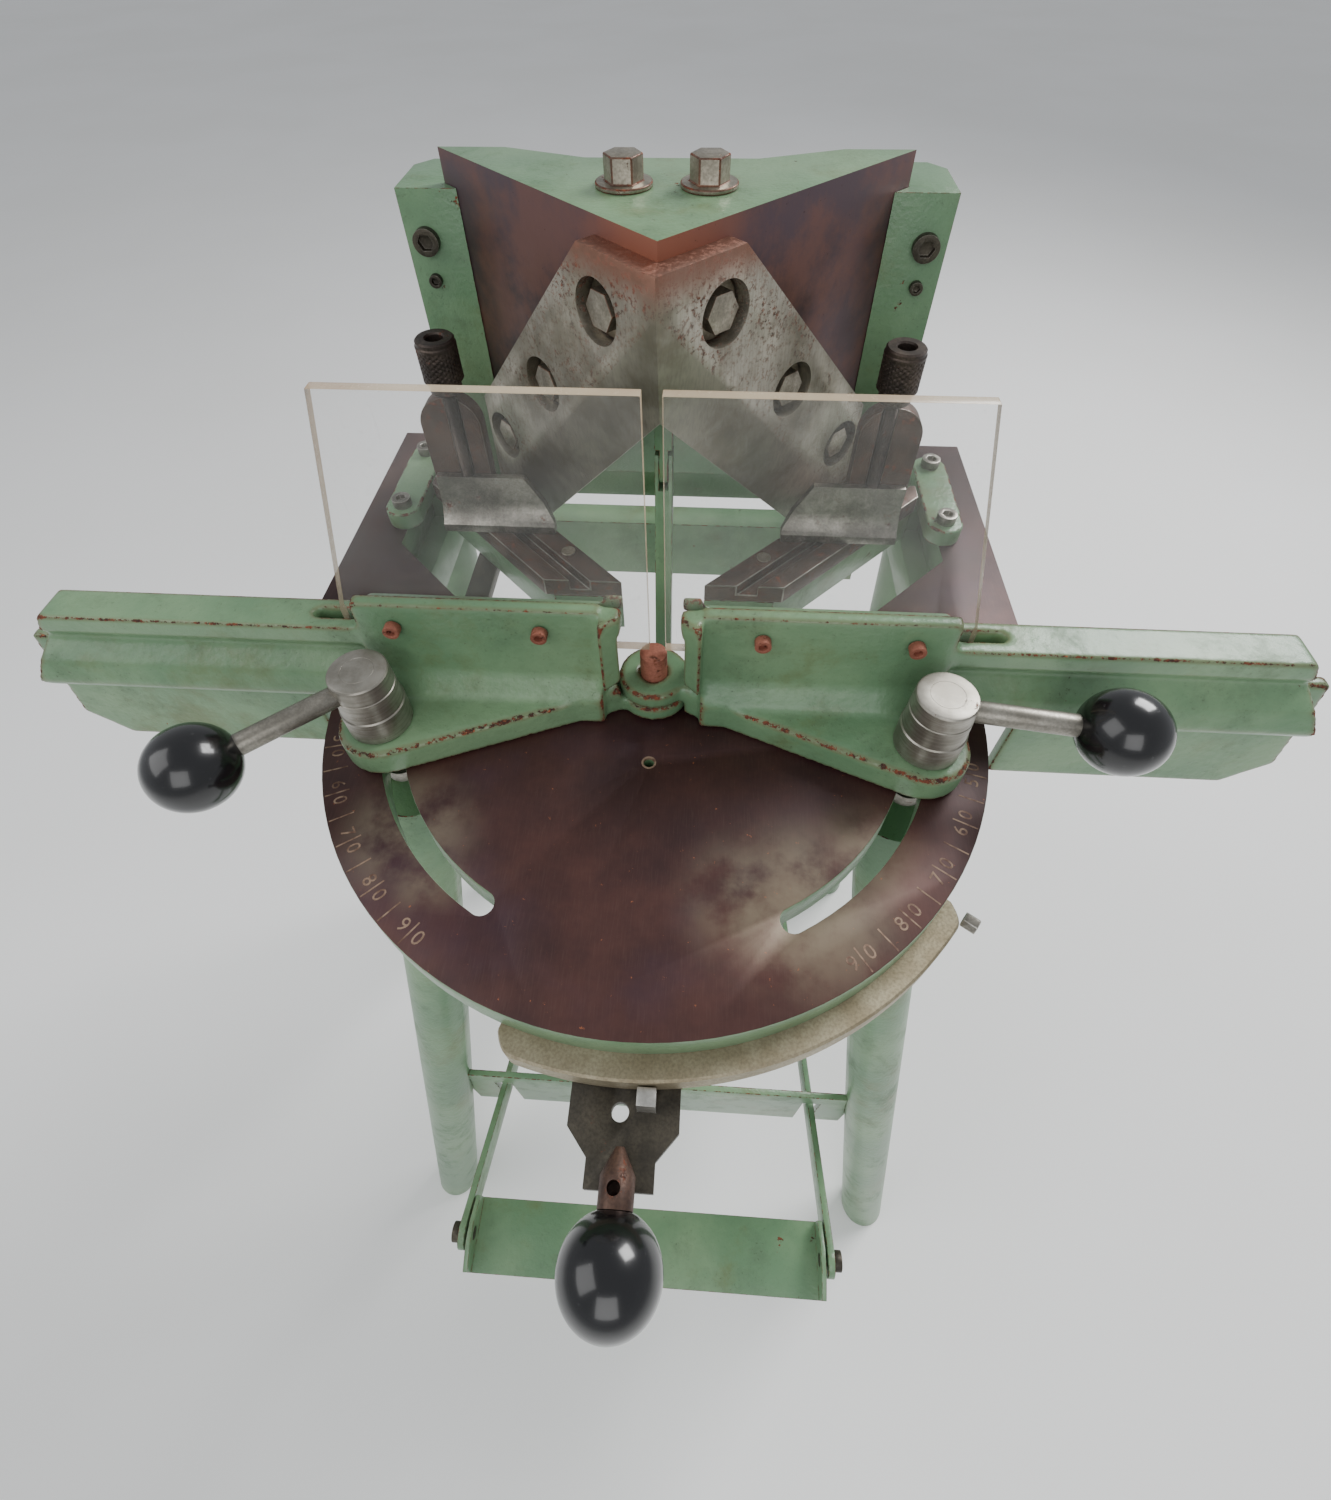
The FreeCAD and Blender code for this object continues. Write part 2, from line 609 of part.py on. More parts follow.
def ledger_bar():
    """Grooved bar on the console arm; the rebate support is set along it."""
    front, rear = size.bar_front_y, size.bar_rear_y
    bottom = TABLE + size.console_top
    bar = prism("bar_blank", "XY", bar_outline(size.bar_outer, size.bar_inner, front, rear), bottom,
                size.bar_thickness)
    low, high, start, end = size.bar_groove_low, size.bar_groove_high, front - 20, rear + 20
    groove = prism("bar_groove", "XY", [(start - high, start), (start - low, start), (end - low, end),
                   (end - high, end)],
                   bottom + size.bar_thickness - size.bar_groove_depth, size.bar_groove_depth + 1)
    return cut("bar", bar, groove)


def ledger_screws():
    """Screw heads standing 1 mm proud of the ledger bars' inner strips."""
    y = size.bar_front_y + 30
    x = y - (size.bar_groove_high + size.bar_inner) / 2
    top = TABLE + size.console_top + size.bar_thickness
    screws = [cylinder("ledger_screw", size.bar_screw_radius, (x, y, top), 1)]
    return group("ledger_screw_set", *screws, *(mirrored("ledger_screw_mirror", s) for s in screws))


def support_bracket():
    """Upright behind the rebate support, screwed to the ledger bar, with a groove for the screw."""
    bottom = TABLE + size.console_top + size.bar_thickness
    left, right = size.bracket_left, size.bracket_right
    top = TABLE + size.bracket_top
    middle, radius = (left + right) / 2, (right - left) / 2
    front = size.bracket_front_y
    plate = box("bracket_plate", (left, front, bottom), (right, front + size.bracket_thickness,
                top - radius))
    head = cylinder("bracket_head", radius, (middle, front, top - radius), size.bracket_thickness, (0, 1,
                    0))
    groove = cylinder("bracket_groove", size.support_rod_radius + 1, (size.support_screw_x, front - 1,
                      bottom + 10),
                      200)
    return cut("bracket", fuse("bracket_blank", plate, head), groove)


def support_angle():
    """Steel angle with a curved front that holds the moulding's rebate close to the knife."""
    bottom = TABLE + size.console_top + size.bar_thickness + 0.3
    low, high = size.support_left, size.support_right
    front, back = size.support_front_y, size.bracket_front_y - 0.3
    tall = size.support_height
    profile = [(front, bottom), (back, bottom), (back, bottom + tall), (back - 5, bottom + tall),
               (back - 6, bottom + tall / 2), (front + 3, bottom + 8), (front, bottom + 6)]
    blank = prism("support_blank", "YZ", profile, low, high - low)
    slant = prism("support_slant", "XZ", [(low - 1, bottom + 6), (low + 20, bottom + tall + 1), (low - 1,
                  bottom + tall + 1)],
                  front - 1, 40)
    swing = prism("support_swept", "XY", [(back - size.bar_inner - 2, back + 1), (low - 5, back + 1),
                  (low - 5, low - 5 + size.bar_inner + 2)],
                  bottom - 1, tall + 5)
    room = cylinder("support_rod_room", size.support_rod_radius + 0.3, (size.support_screw_x, front + 14,
                    bottom - 1), 200)
    return cut("support", blank, slant, swing, room)


def support_screw():
    """Knurled sleeve and its threaded rod, in one turning piece."""
    x, y = size.support_screw_x, size.support_front_y + 14
    rod_low = TABLE + size.console_top + size.bar_thickness + 14
    sleeve_low = TABLE + size.knob_bottom
    sleeve = cylinder("sleeve", size.knob_radius, (x, y, sleeve_low), size.knob_top - size.knob_bottom)
    hollow = cylinder("sleeve_hollow", size.knob_radius / 2, (x, y, TABLE + size.knob_top - 12), 20)
    rod = cylinder("support_rod", size.support_rod_radius, (x, y, rod_low), sleeve_low - rod_low + 5)
    return fuse("support_screw", cut("sleeve_top", sleeve, hollow), rod)


# ---------------------------------------------------------------- head
def knife_block():
    """Wedge-shaped block: two 45 degree faces, a recessed rear edge and an arched underside."""
    half, apex = size.block_half_width, size.apex_y
    rear = apex + half
    bottom = TABLE - 45
    top = TABLE + size.block_top
    shoulder = half - size.pad_width
    outline = [(0, apex), (half, rear), (shoulder, rear), (shoulder / 2, size.block_rear_mid),
               (-shoulder / 2, size.block_rear_mid), (-shoulder, rear), (-half, rear)]
    blank = prism("block_blank", "XY", outline, bottom, top - bottom)
    crown = TABLE + size.block_bottom_apex
    fall = tan_of(size.knife_slope) * math.sqrt(2)
    foot_x = (crown - bottom) / fall
    arch = prism("block_arch", "XZ", [(0, crown), (-foot_x - 3, bottom - 3 * fall), (foot_x + 3,
                 bottom - 3 * fall)],
                 apex - 10, 200)
    hollow = box("block_hollow", (-9, size.rod_pin_y - 22, TABLE), (9, size.rod_pin_y + 24,
                 size.rod_pin_z + 22))
    return cut("block", blank, arch, hollow, block_pin())


def face_turn():
    """A knife is drawn flat in X (along the face) and Z, then turned 45 degrees about the apex."""
    return FreeCAD.Rotation(FreeCAD.Vector(0, 0, 1), 45)


def knife():
    """Right-hand knife with its mitred inner end, drawn along +X and turned onto the block's face."""
    slope = tan_of(size.knife_slope)
    low_end = size.knife_edge_apex - slope * size.knife_length
    nose = size.knife_thickness
    outline = [(-nose, size.knife_top), (size.knife_flat, size.knife_top), (size.knife_length,
               size.knife_end_top),
               (size.knife_length, low_end), (-nose, size.knife_edge_apex + slope * nose)]
    blank = prism("knife_blank", "XZ", outline, 0 - size.knife_thickness, size.knife_thickness)
    mitre = prism("knife_mitre", "XY", [(0, 0), (-30, 0), (-30, -30)], size.knife_edge_apex - 10,
                  size.knife_top - size.knife_edge_apex + 20)
    bevel = knife_bevel(slope)
    holes = [knife_hole(s, z) for s, z in bolt_places()]
    flat = cut("knife_flat_drawn", blank, mitre, bevel, *holes)
    holder = doc.addObject("Part::Compound", "knife_holder")
    holder.Links = [flat]
    return move_to(holder, 0, size.apex_y, TABLE, face_turn())


def knife_bevel(slope):
    """What the bevel takes away: a wedge along the cutting edge, running out at the bevel's top line."""
    run = size.bevel_run_out
    edge = size.knife_length * Size(math.hypot(1, slope.value), f"sqrt(1 + {slope.text} ^ 2)")
    wedge = doc.addObject("Part::Wedge", "knife_bevel")
    zero = {name: 0 for name in ("Xmin", "Ymin", "Zmin", "X2min", "Z2min")}
    length = edge + run * 2
    set_size(wedge, Xmax=length, X2max=length, Ymax=size.knife_thickness - size.edge_thickness,
             Zmax=size.bevel_height * cos_of(size.knife_slope), Z2max=size.wedge_tip, **zero)
    across, rise = cos_of(size.knife_slope) * run, sin_of(size.knife_slope) * run
    turn = FreeCAD.Rotation(FreeCAD.Vector(0, 1, 0), size.knife_slope.value)
    move_to(wedge, 0 - across, 0 - size.knife_thickness, size.knife_edge_apex + rise, turn)
    wedge.setExpression("Placement.Rotation.Angle", f"{size.knife_slope.text} * 1deg")
    return wedge


def bolt_places():
    """The three knife bolts as (distance along the face, height over the table)."""
    first = (size.knife_bolt_first_s, size.knife_bolt_first_z)
    last = (size.knife_bolt_last_s, size.knife_bolt_last_z)
    middle = tuple((a + b) / 2 for a, b in zip(first, last))
    return [first, middle, last]


def knife_hole(s, z):
    depth = size.knife_thickness
    return cylinder("knife_hole", size.knife_bolt_hole, (s, -depth - 1, z), depth + 2, (0, 1, 0))


def knife_bolts():
    heads = []
    for s, z in bolt_places():
        washer = cylinder("bolt_washer", size.knife_bolt_hole - 1, (s, -2.5, z), 2.5, (0, 1, 0))
        head = hexagon("bolt_head", size.knife_bolt_flats, (s, -10, z), 7.5, (0, 1, 0))
        heads.append(fuse("bolt", washer, head))
    return move_to(group("knife_bolt_set", *heads), 0, size.apex_y, TABLE, face_turn())


def top_bolts():
    bolts = []
    for side in (1, -1):
        place = (size.top_bolt_x * side, size.top_bolt_y, TABLE + size.block_top)
        washer = cylinder("top_washer", 15, place, 2.5)
        head = hexagon("top_head", size.top_bolt_flats, (place[0], place[1], place[2] + 2.5), 12)
        bolts.append(fuse("top_bolt", washer, head))
    return group("top_bolt_set", *bolts)


def block_pin():
    """Pin across the hollow of the block, on which the shackle hangs."""
    half = size.block_pin_half
    return cylinder("block_pin", size.block_pin_radius, (-half, size.rod_pin_y, size.rod_pin_z), half * 2,
                    (1, 0, 0))


def rod_direction():
    """Unit vector from the block's pin down to the draw bar, in the side view."""
    y, z = draw_bar_place()
    dy, dz = y - size.rod_pin_y, z - size.rod_pin_z
    length = Size(math.hypot(dy.value, dz.value), f"sqrt({dy.text} ^ 2 + {dz.text} ^ 2)")
    return dy / length, dz / length, length


def tilt_of_rod():
    dy, dz, _ = rod_direction()
    return FreeCAD.Rotation(FreeCAD.Vector(1, 0, 0), math.degrees(math.atan2(dy.value, -dz.value)))


def rod_shackle():
    """Flat link from the block's pin to the pull rod's upper pin, drawn hanging and then tilted."""
    half = size.rod_width / 2
    drop = size.shackle_length
    plate = box("shackle_plate", (-half, -11, -drop), (half, 11, 0))
    ends = [cylinder("shackle_end", 11, (-half, 0, z), size.rod_width, (1, 0, 0)) for z in (0, -drop)]
    bore = cylinder("shackle_bore", size.block_pin_radius + 0.1, (-half - 1, 0, 0), size.rod_width + 2,
                    (1, 0, 0))
    waist = box("shackle_tongue_room", (2.7, -20, -drop - 20), (20, 20, -drop + 13))
    waist_left = box("shackle_tongue_left", (-20, -20, -drop - 20), (-2.7, 20, -drop + 13))
    pin_bore = cylinder("shackle_pin_bore", 5.1, (-10, 0, -drop), 20, (1, 0, 0))
    flat = cut("shackle_flat", fuse("shackle_blank", plate, *ends), bore, waist, waist_left, pin_bore)
    holder = doc.addObject("Part::Compound", "shackle_holder")
    holder.Links = [flat]
    return move_to(holder, 0, size.rod_pin_y, size.rod_pin_z, tilt_of_rod())


def pull_rod():
    """Flat bar with a fork at its top and a long eye round the treadle's draw bar."""
    half, deep = size.rod_width / 2, size.rod_depth / 2
    _, _, length = rod_direction()
    drop = size.shackle_length
    eye_top = -length + size.eye_up + size.eye_wall
    eye_low = -length - size.eye_down - size.eye_wall
    wide = size.eye_half_width + size.eye_wall
    bar = box("rod_bar", (-half, -deep, eye_top - 1), (half, deep, -drop + 9))
    ring = box("rod_ring", (-half, -wide, eye_low), (half, wide, eye_top))
    window = box("rod_window", (-half - 1, -size.eye_half_width, -length - size.eye_down),
                 (half + 1, size.eye_half_width, -length + size.eye_up))
    fork = box("rod_fork", (-3, -30, -drop - 14), (3, 30, -drop + 20))
    pin = cylinder("rod_pin", 5, (-half, 0, -drop), size.rod_width, (1, 0, 0))
    flat = fuse("rod_flat", cut("rod_cut", fuse("rod_blank", bar, ring), window, fork), pin)
    holder = doc.addObject("Part::Compound", "rod_holder")
    holder.Links = [flat]
    return move_to(holder, 0, size.rod_pin_y, size.rod_pin_z, tilt_of_rod())


# ---------------------------------------------------------------- treadle
def treadle_frame():
    """Hub tube, two flat arms and the draw bar, drawn level along -Y and then raised to the arm angle."""
    reach, half = size.arm_reach, size.arm_thickness / 2
    pieces = []
    for side in (1, -1):
        low = size.arm_x * side - half
        pieces.append(box("arm_bar", (low, -reach, -size.arm_depth / 2), (low + size.arm_thickness, 0,
                      size.arm_depth / 2)))
        pieces.append(cylinder("arm_front", size.arm_depth / 2, (low, -reach, 0), size.arm_thickness, (1,
                      0, 0)))
        pieces.append(cylinder("arm_rear", size.hub_radius, (low, 0, 0), size.arm_thickness, (1, 0, 0)))
    pieces.append(cylinder("hub_tube", size.hub_radius, (-size.arm_x, 0, 0), size.arm_x * 2, (1, 0, 0)))
    pieces.append(cylinder("draw_bar", size.draw_bar_radius, (-size.arm_x, -size.draw_bar_reach, 0),
                  size.arm_x * 2, (1, 0, 0)))
    reach_x = size.arm_x + size.arm_thickness
    bore = cylinder("hub_bore", size.treadle_shaft_radius + 0.08, (-reach_x, 0, 0), reach_x * 2, (1, 0, 0))
    flat = cut("treadle_flat", fuse("treadle_blank", *pieces), bore)
    holder = doc.addObject("Part::Compound", "treadle_holder")
    holder.Links = [flat]
    raised = FreeCAD.Rotation(FreeCAD.Vector(1, 0, 0), -size.arm_angle.value)
    return move_to(holder, 0, size.treadle_pivot_y, size.treadle_pivot_z, raised)


def tread_pivot_place():
    y = size.treadle_pivot_y - cos_of(size.arm_angle) * size.arm_reach
    z = size.treadle_pivot_z + sin_of(size.arm_angle) * size.arm_reach
    return y, z


def tread_bolts():
    """Two bolts from the arms' front ends into the tread's ears, with their heads outside."""
    y, z = tread_pivot_place()
    inner = size.arm_x - size.arm_thickness / 2 - 6.5
    outer = size.arm_x + size.arm_thickness / 2
    shank_in = cylinder("tread_shank", size.tread_bolt_radius, (inner, y, z),
                        outer - inner - size.arm_thickness, (1, 0, 0))
    head = cylinder("tread_head", size.tread_bolt_radius + 3, (outer, y, z), 7, (1, 0, 0))
    return group("tread_bolt_set", shank_in, head, mirrored("tread_shank_mirror", shank_in),
                 mirrored("tread_head_mirror", head))


def tread_plate():
    """Bent foot plate whose two raised ears hang on the tread bolts."""
    y, z = tread_pivot_place()
    half = size.arm_x - size.arm_thickness / 2 - 2
    deep, thick = size.tread_depth / 2, size.tread_thickness
    floor_z = z - size.tread_ear_height + 12
    plate = box("tread_floor", (-half, y - deep, floor_z), (half, y + deep, floor_z + thick))
    ears = []
    for low in (half - thick, -half):
        ears.append(prism("tread_ear", "YZ", [(y - deep, floor_z), (y + deep, floor_z), (y + deep, z + 2),
                    (y + 8, z + 12),
                    (y - 8, z + 12), (y - deep, z + 2)], low, thick))
    bore = cylinder("tread_bore", size.tread_bolt_radius + 0.08, (-half - 2, y, z), half * 2 + 4, (1, 0, 0))
    return cut("tread", fuse("tread_blank", plate, *ears), bore)


# ---------------------------------------------------------------- feed lever
def feed_lever_plate():
    """Steel plate that turns on the stud: a hub, a bar, a wide head, a neck, and a forked side tail."""
    top = TABLE + size.lever_top
    low = top - size.lever_thickness
    bar, head, neck = size.lever_bar_half, size.lever_head_half, size.lever_neck_half
    start, shoulder, waist = -size.lever_head_start, -size.lever_head_end, -size.lever_neck_start
    outline = [(bar, 0), (bar, start + 20), (head, start), (head, shoulder), (neck, waist), (neck,
               -size.lever_end),
               (-neck, -size.lever_end), (-neck, waist), (-head, shoulder), (-head, start), (-bar,
                   start + 20), (-bar, 0)]
    blade = prism("lever_blade", "XY", outline, low, size.lever_thickness)
    hub = cylinder("lever_hub", size.lever_hub_radius, (0, 0, low), size.lever_thickness)
    tail_end = -size.feed_pin_x - 22
    tail = box("lever_tail", (tail_end, -19, low), (0, 19, top))
    fork = box("lever_fork", (tail_end - 1, -size.fork_slot_half, low - 1), (-size.feed_pin_x + 36,
               size.fork_slot_half, top + 1))
    bore = cylinder("lever_bore", size.stud_radius + 0.08, (0, 0, low - 1), size.lever_thickness + 2)
    sight = cylinder("lever_sight_hole", size.sight_radius, (0 - size.sight_left, 0 - size.sight_reach,
                     low - 1),
                     size.lever_thickness + 2)
    return cut("lever", fuse("lever_blank", blade, hub, tail), fork, bore, sight)


def feed_pin():
    """Bracket from the left console arm forward to the lever's fork, with the pin the fork drives."""
    low = TABLE + size.lever_top + 1
    under_arm = TABLE + size.arm_bottom
    seat = size.feed_pin_x + size.carriage_arm_inner - 2
    bar = box("pin_bar", (-size.feed_pin_x - 9, -9, low), (-size.feed_pin_x + 9, seat, low + 8))
    riser = box("pin_riser", (-size.feed_pin_x - 9, seat - 30, low), (-size.feed_pin_x + 9, seat,
                under_arm))
    pin = cylinder("pin_round", size.feed_pin_radius, (-size.feed_pin_x, 0, low - size.lever_thickness - 3),
                   size.lever_thickness + 4)
    return fuse("feed_pin_blank", bar, riser, pin)


def feed_spindle():
    """Round spindle with a conical tip, lying on the lever and screwed into the ball."""
    z = TABLE + size.lever_top + size.spindle_radius
    tip, end = size.spindle_tip, size.lever_ball_reach - size.ball_radius + 2
    start = tip + size.point_length
    point = cone("spindle_point", 2, size.spindle_radius, (0, -tip, z), size.point_length, (0, -1, 0))
    shaft = cylinder("spindle_shaft", size.spindle_radius, (0, -start, z), end - start, (0, -1, 0))
    cross = cylinder("spindle_cross", 3, (-1, -start - 5, z - 2), 20, (0, 0, 1))
    return cut("spindle", fuse("spindle_blank", point, shaft), cross)


def feed_ball(spindle):
    z = TABLE + size.lever_top + size.spindle_radius
    return cut("feed_ball_round", ball("feed_ball_blank", size.ball_radius, (0, -size.lever_ball_reach,
               z)), spindle)


def index_block():
    """Small square index piece welded on the lever, just outside the segment."""
    low = TABLE + size.lever_top
    return box("index_piece", (6, -size.segment_outer - 8.5, low), (15, -size.segment_outer - 0.5,
               low + 15))


# ---------------------------------------------------------------- fences
def fence(lug_low):
    """Right-hand fence: moulding wall, guard slot, humped front, rail, hanging plate, foot and lug."""
    low = TABLE + size.table_gap
    face, front = size.fence_face_y, size.guard_front_y - size.guard_slot_gap
    inner, outer = size.hump_inner + 12, size.hump_outer
    top = TABLE + size.hump_height
    hump = prism("hump", "YZ", [(face, low), (face, TABLE + size.rear_wall_height), (face - 4,
                 TABLE + size.rear_wall_height),
                 (front, top), (front - 9, top), (front - 13, low + 34), (front - 22,
                     low + size.foot_thickness), (front - 22, low)],
                 inner, outer - inner)
    rib = prism("rib", "YZ", [(face - 4, low + 26), (face - 4, top - 4), (front - 20, top), (front - 26,
                low + 30)],
                size.hump_inner, 12)
    rail = prism("rail", "YZ", [(face, low + 26), (face, TABLE + size.rail_top), (face - 24,
                 TABLE + size.rail_top),
                 (face - 24, TABLE + size.rail_top - 12), (face - 17, TABLE + 42), (face - 30, TABLE + 30),
                 (face - 34, TABLE + 16), (face - 28, low + 6), (face - 12, low + 6)],
                 outer - 1, size.rail_end_low - outer)
    slant = prism("rail_slant", "XZ", [(size.rail_end_top, TABLE + size.rail_top + 1),
                  (size.rail_end_low + 9, TABLE - 20),
                  (size.rail_end_low + 60, TABLE - 20), (size.rail_end_low + 60,
                                                         TABLE + size.rail_top + 1)], -60, 120)
    plate = prism("hanging", "XZ", [(size.hanging_inner, TABLE + size.hanging_drop),
                  (size.hanging_outer - 22, TABLE + size.hanging_drop),
                  (size.hanging_outer, TABLE + size.hanging_drop + 24), (size.rail_end_low + 2, TABLE + 30),
                  (size.hanging_inner, TABLE + 30)], face - 9, 9)
    foot = prism("foot", "XY", [(size.hump_inner, -13), (size.boss_x - 8, size.boss_y - 24),
                 (size.boss_x + size.boss_foot_radius, size.boss_y),
                 (size.boss_x + size.boss_foot_radius, -10), (size.boss_x + 12, face - 6), (inner,
                     face - 6)], low, size.foot_thickness)
    toe = cylinder("toe", size.boss_foot_radius, (size.boss_x, size.boss_y, low), size.foot_thickness)
    lug = cylinder("lug", size.lug_radius, (0, 0, lug_low), size.lug_thickness)
    neck = box("lug_neck", (0, -13, lug_low), (inner + 6, 8, lug_low + size.lug_thickness))
    body = fuse("fence_body", hump, rib, cut("rail_cut", rail, slant), plate, foot, toe)
    other_lug = cylinder("other_lug_room", size.lug_radius + 1.5, (0, 0, TABLE - 1), size.rear_wall_height)
    reach = size.boss_x / 2
    facing = prism("fence_facing", "XY", [(0, 3), (reach, 3 - reach), (0, 3 - reach)], low - 1,
                   size.hump_height + 20)
    body = cut("fence_clear", body, other_lug, facing)
    room = cylinder("boss_room", size.boss_radius + 1, (size.boss_x, size.boss_y,
                    low + size.foot_thickness), 120)
    slot = box("guard_slot", (0, front, TABLE + size.guard_bottom - size.guard_slot_gap),
               (size.hump_outer + 30, size.guard_front_y + size.guard_thickness + size.guard_slot_gap,
                TABLE + 200))
    stud = cylinder("fence_bore", size.stud_radius + 0.08, (0, 0, TABLE - 1), 60)
    bolt = cylinder("clamp_bore", size.clamp_stud_radius + 0.6, (size.boss_x, size.boss_y, TABLE - 1), 80)
    return cut("fence", fuse("fence_whole", body, lug, neck), room, slot, stud, bolt)


def guard(inner):
    """Clear guard plate with one slanting outer edge."""
    outline = [(inner, TABLE + size.guard_bottom), (size.guard_outer_low, TABLE + size.guard_bottom),
               (size.guard_outer_low, TABLE + size.rail_top + 4), (size.guard_outer_top,
                                                                   TABLE + size.guard_top),
               (inner, TABLE + size.guard_top)]
    return prism("guard", "XZ", outline, size.guard_front_y, size.guard_thickness)


def guard_screws():
    """Two hollow set screws through the hump's front wall, pressing the guard."""
    screws = []
    for share in (0.3, 0.85):
        x = size.hump_inner + (size.hump_outer - size.hump_inner) * share
        z = TABLE + size.hump_height - 14
        start = size.guard_front_y - 12
        solid = cylinder("set_screw", size.guard_screw_radius, (x, start - 5, z), 5.5, (0, 1, 0))
        screws.append(cut("set_screw_hollow", solid, cylinder("set_screw_hole", 2.4, (x, start - 6, z),
                      4.5, (0, 1, 0))))
    return group("set_screw_pair", *screws)


def clamp_stud():
    """Stud from the foot down through the arc slot, with a washer and nut under the table."""
    under = TABLE - size.table_thickness
    top = TABLE + size.table_gap + size.foot_thickness
    shaft = cylinder("clamp_shaft", size.clamp_stud_radius, (size.boss_x, size.boss_y, under - 9.5),
                     top - under + 9.5 + 20)
    washer = cylinder("clamp_washer", 11, (size.boss_x, size.boss_y, under - 9.5), 9.2)
    return fuse("clamp_fixed", shaft, washer)


def clamp_boss(side, rod):
    """Round clamp nut with a slightly smaller turned top, bored for the stud and for its lever."""
    low = TABLE + size.table_gap + size.foot_thickness + 0.3
    top = TABLE + 64
    x = size.boss_x * side
    lower = cylinder("boss_ring", size.boss_radius, (x, size.boss_y, low), 18)
    upper = cone("boss_top", size.boss_radius - 0.5, size.boss_radius - 2, (x, size.boss_y, low + 18),
                 top - low - 18)
    bore = cylinder("boss_bore", size.clamp_stud_radius + 0.06, (x, size.boss_y, low - 1), 22)
    return cut("boss", fuse("boss_blank", lower, upper), bore, rod)


def lever_point(side, angle, reach):
    """A point on a clamp lever's axis, at a distance from the boss's centre."""
    turn = math.radians(angle.value)
    wide = Size(math.cos(turn), f"cos({angle.text} * 1deg)") * reach
    deep = Size(math.sin(turn), f"sin({angle.text} * 1deg)") * reach
    return size.boss_x * side + wide, size.boss_y + deep, TABLE + 54


def clamp_rod(side, angle):
    start = lever_point(side, angle, size.boss_radius - 5)
    end = lever_point(side, angle, size.clamp_reach - size.ball_radius + 3)
    return rod_between("clamp_bar", size.clamp_rod_radius, start, end)


def clamp_ball(side, angle, rod):
    return cut("clamp_knob", ball("clamp_sphere", size.ball_radius, lever_point(side, angle,
               size.clamp_reach)), rod)


# ---------------------------------------------------------------- the assembly
def build():
    subpart("table_casting", table_casting())
    subpart("feed_segment", feed_segment())
    subpart("segment_stop_screw", stop_screw())
    subpart("pivot_stud", pivot_stud())
    both_sides("leg_front", front_leg())
    both_sides("leg_rear", rear_leg())
    subpart("web_plate", web_plate(SUBPARTS["leg_front_right"], SUBPARTS["leg_front_left"]))
    subpart("rear_crossbar", rear_crossbar(SUBPARTS["leg_rear_right"], SUBPARTS["leg_rear_left"]))
    subpart("treadle_shaft", treadle_shaft())
    both_sides("keeper", keeper())
    subpart("keeper_screws", keeper_screws())
    subpart("spring_hanger", spring_hanger())
    subpart("return_spring", return_spring())

    subpart("carriage_base", carriage_base())
    both_sides("guide_post", guide_post())
    subpart("guide_bridge", guide_bridge())
    subpart("guide_screws", guide_screws())
    both_sides("ledger_bar", ledger_bar())
    subpart("ledger_screws", ledger_screws())
    both_sides("support_bracket", support_bracket())
    subpart("feed_pin", feed_pin())
    both_sides("support_angle", support_angle())
    both_sides("support_screw", support_screw())

    subpart("knife_block", knife_block())
    both_sides("knife", knife())
    both_sides("knife_bolts", knife_bolts())
    subpart("top_bolts", top_bolts())
    subpart("block_pin", block_pin())
    subpart("rod_shackle", rod_shackle())
    subpart("pull_rod", pull_rod())

    subpart("treadle_frame", treadle_frame())
    subpart("tread_bolts", tread_bolts())
    subpart("tread_plate", tread_plate())

    subpart("feed_lever_plate", fuse("lever_with_index", feed_lever_plate(), index_block()))
    spindle = subpart("feed_spindle", feed_spindle())
    subpart("feed_ball", feed_ball(spindle))

    low = TABLE + size.table_gap
    subpart("fence_left", mirrored("fence_left_side", fence(low)))
    subpart("fence_right", fence(low + size.lug_thickness + 0.3))
    subpart("guard_right", guard(size.guard_right_inner))
    subpart("guard_left", mirrored("guard_left_side", guard(size.guard_left_inner)))
    both_sides("guard_screws", guard_screws())
    both_sides("clamp_stud", clamp_stud())
    for name, side, angle in (("right", 1, size.right_clamp_angle), ("left", -1, size.left_clamp_angle)):
        rod = subpart(f"clamp_rod_{name}", clamp_rod(side, angle))
        subpart(f"clamp_boss_{name}", clamp_boss(side, rod))
        subpart(f"clamp_ball_{name}", clamp_ball(side, angle, rod))


def check_and_export():
    """Stop on any failed feature or bad shape, then write one STEP file per sub-part."""
    doc.recompute()
    failed = [o.Name for o in doc.Objects if "Invalid" in o.State or "Error" in o.State]
    if failed:
        raise RuntimeError(f"failed objects: {failed}")
    for node, obj in SUBPARTS.items():
        if obj.Shape.isNull() or not obj.Shape.isValid():
            raise RuntimeError(f"bad shape: {node}")
    os.makedirs("parts", exist_ok=True)
    for node, obj in SUBPARTS.items():
        obj.Shape.exportStep(f"parts/{node}.step")
        print(f"{node}: {len(obj.Shape.Solids)} solid(s), {obj.Shape.Volume / 1000:.1f} cm3")
    print(f"{len(SUBPARTS)} sub-parts")


build()
check_and_export()
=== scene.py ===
"""Looks of a foot-operated mitre guillotine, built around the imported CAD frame."""
import json
import math

import bmesh
import bpy
from mathutils import Matrix, Vector

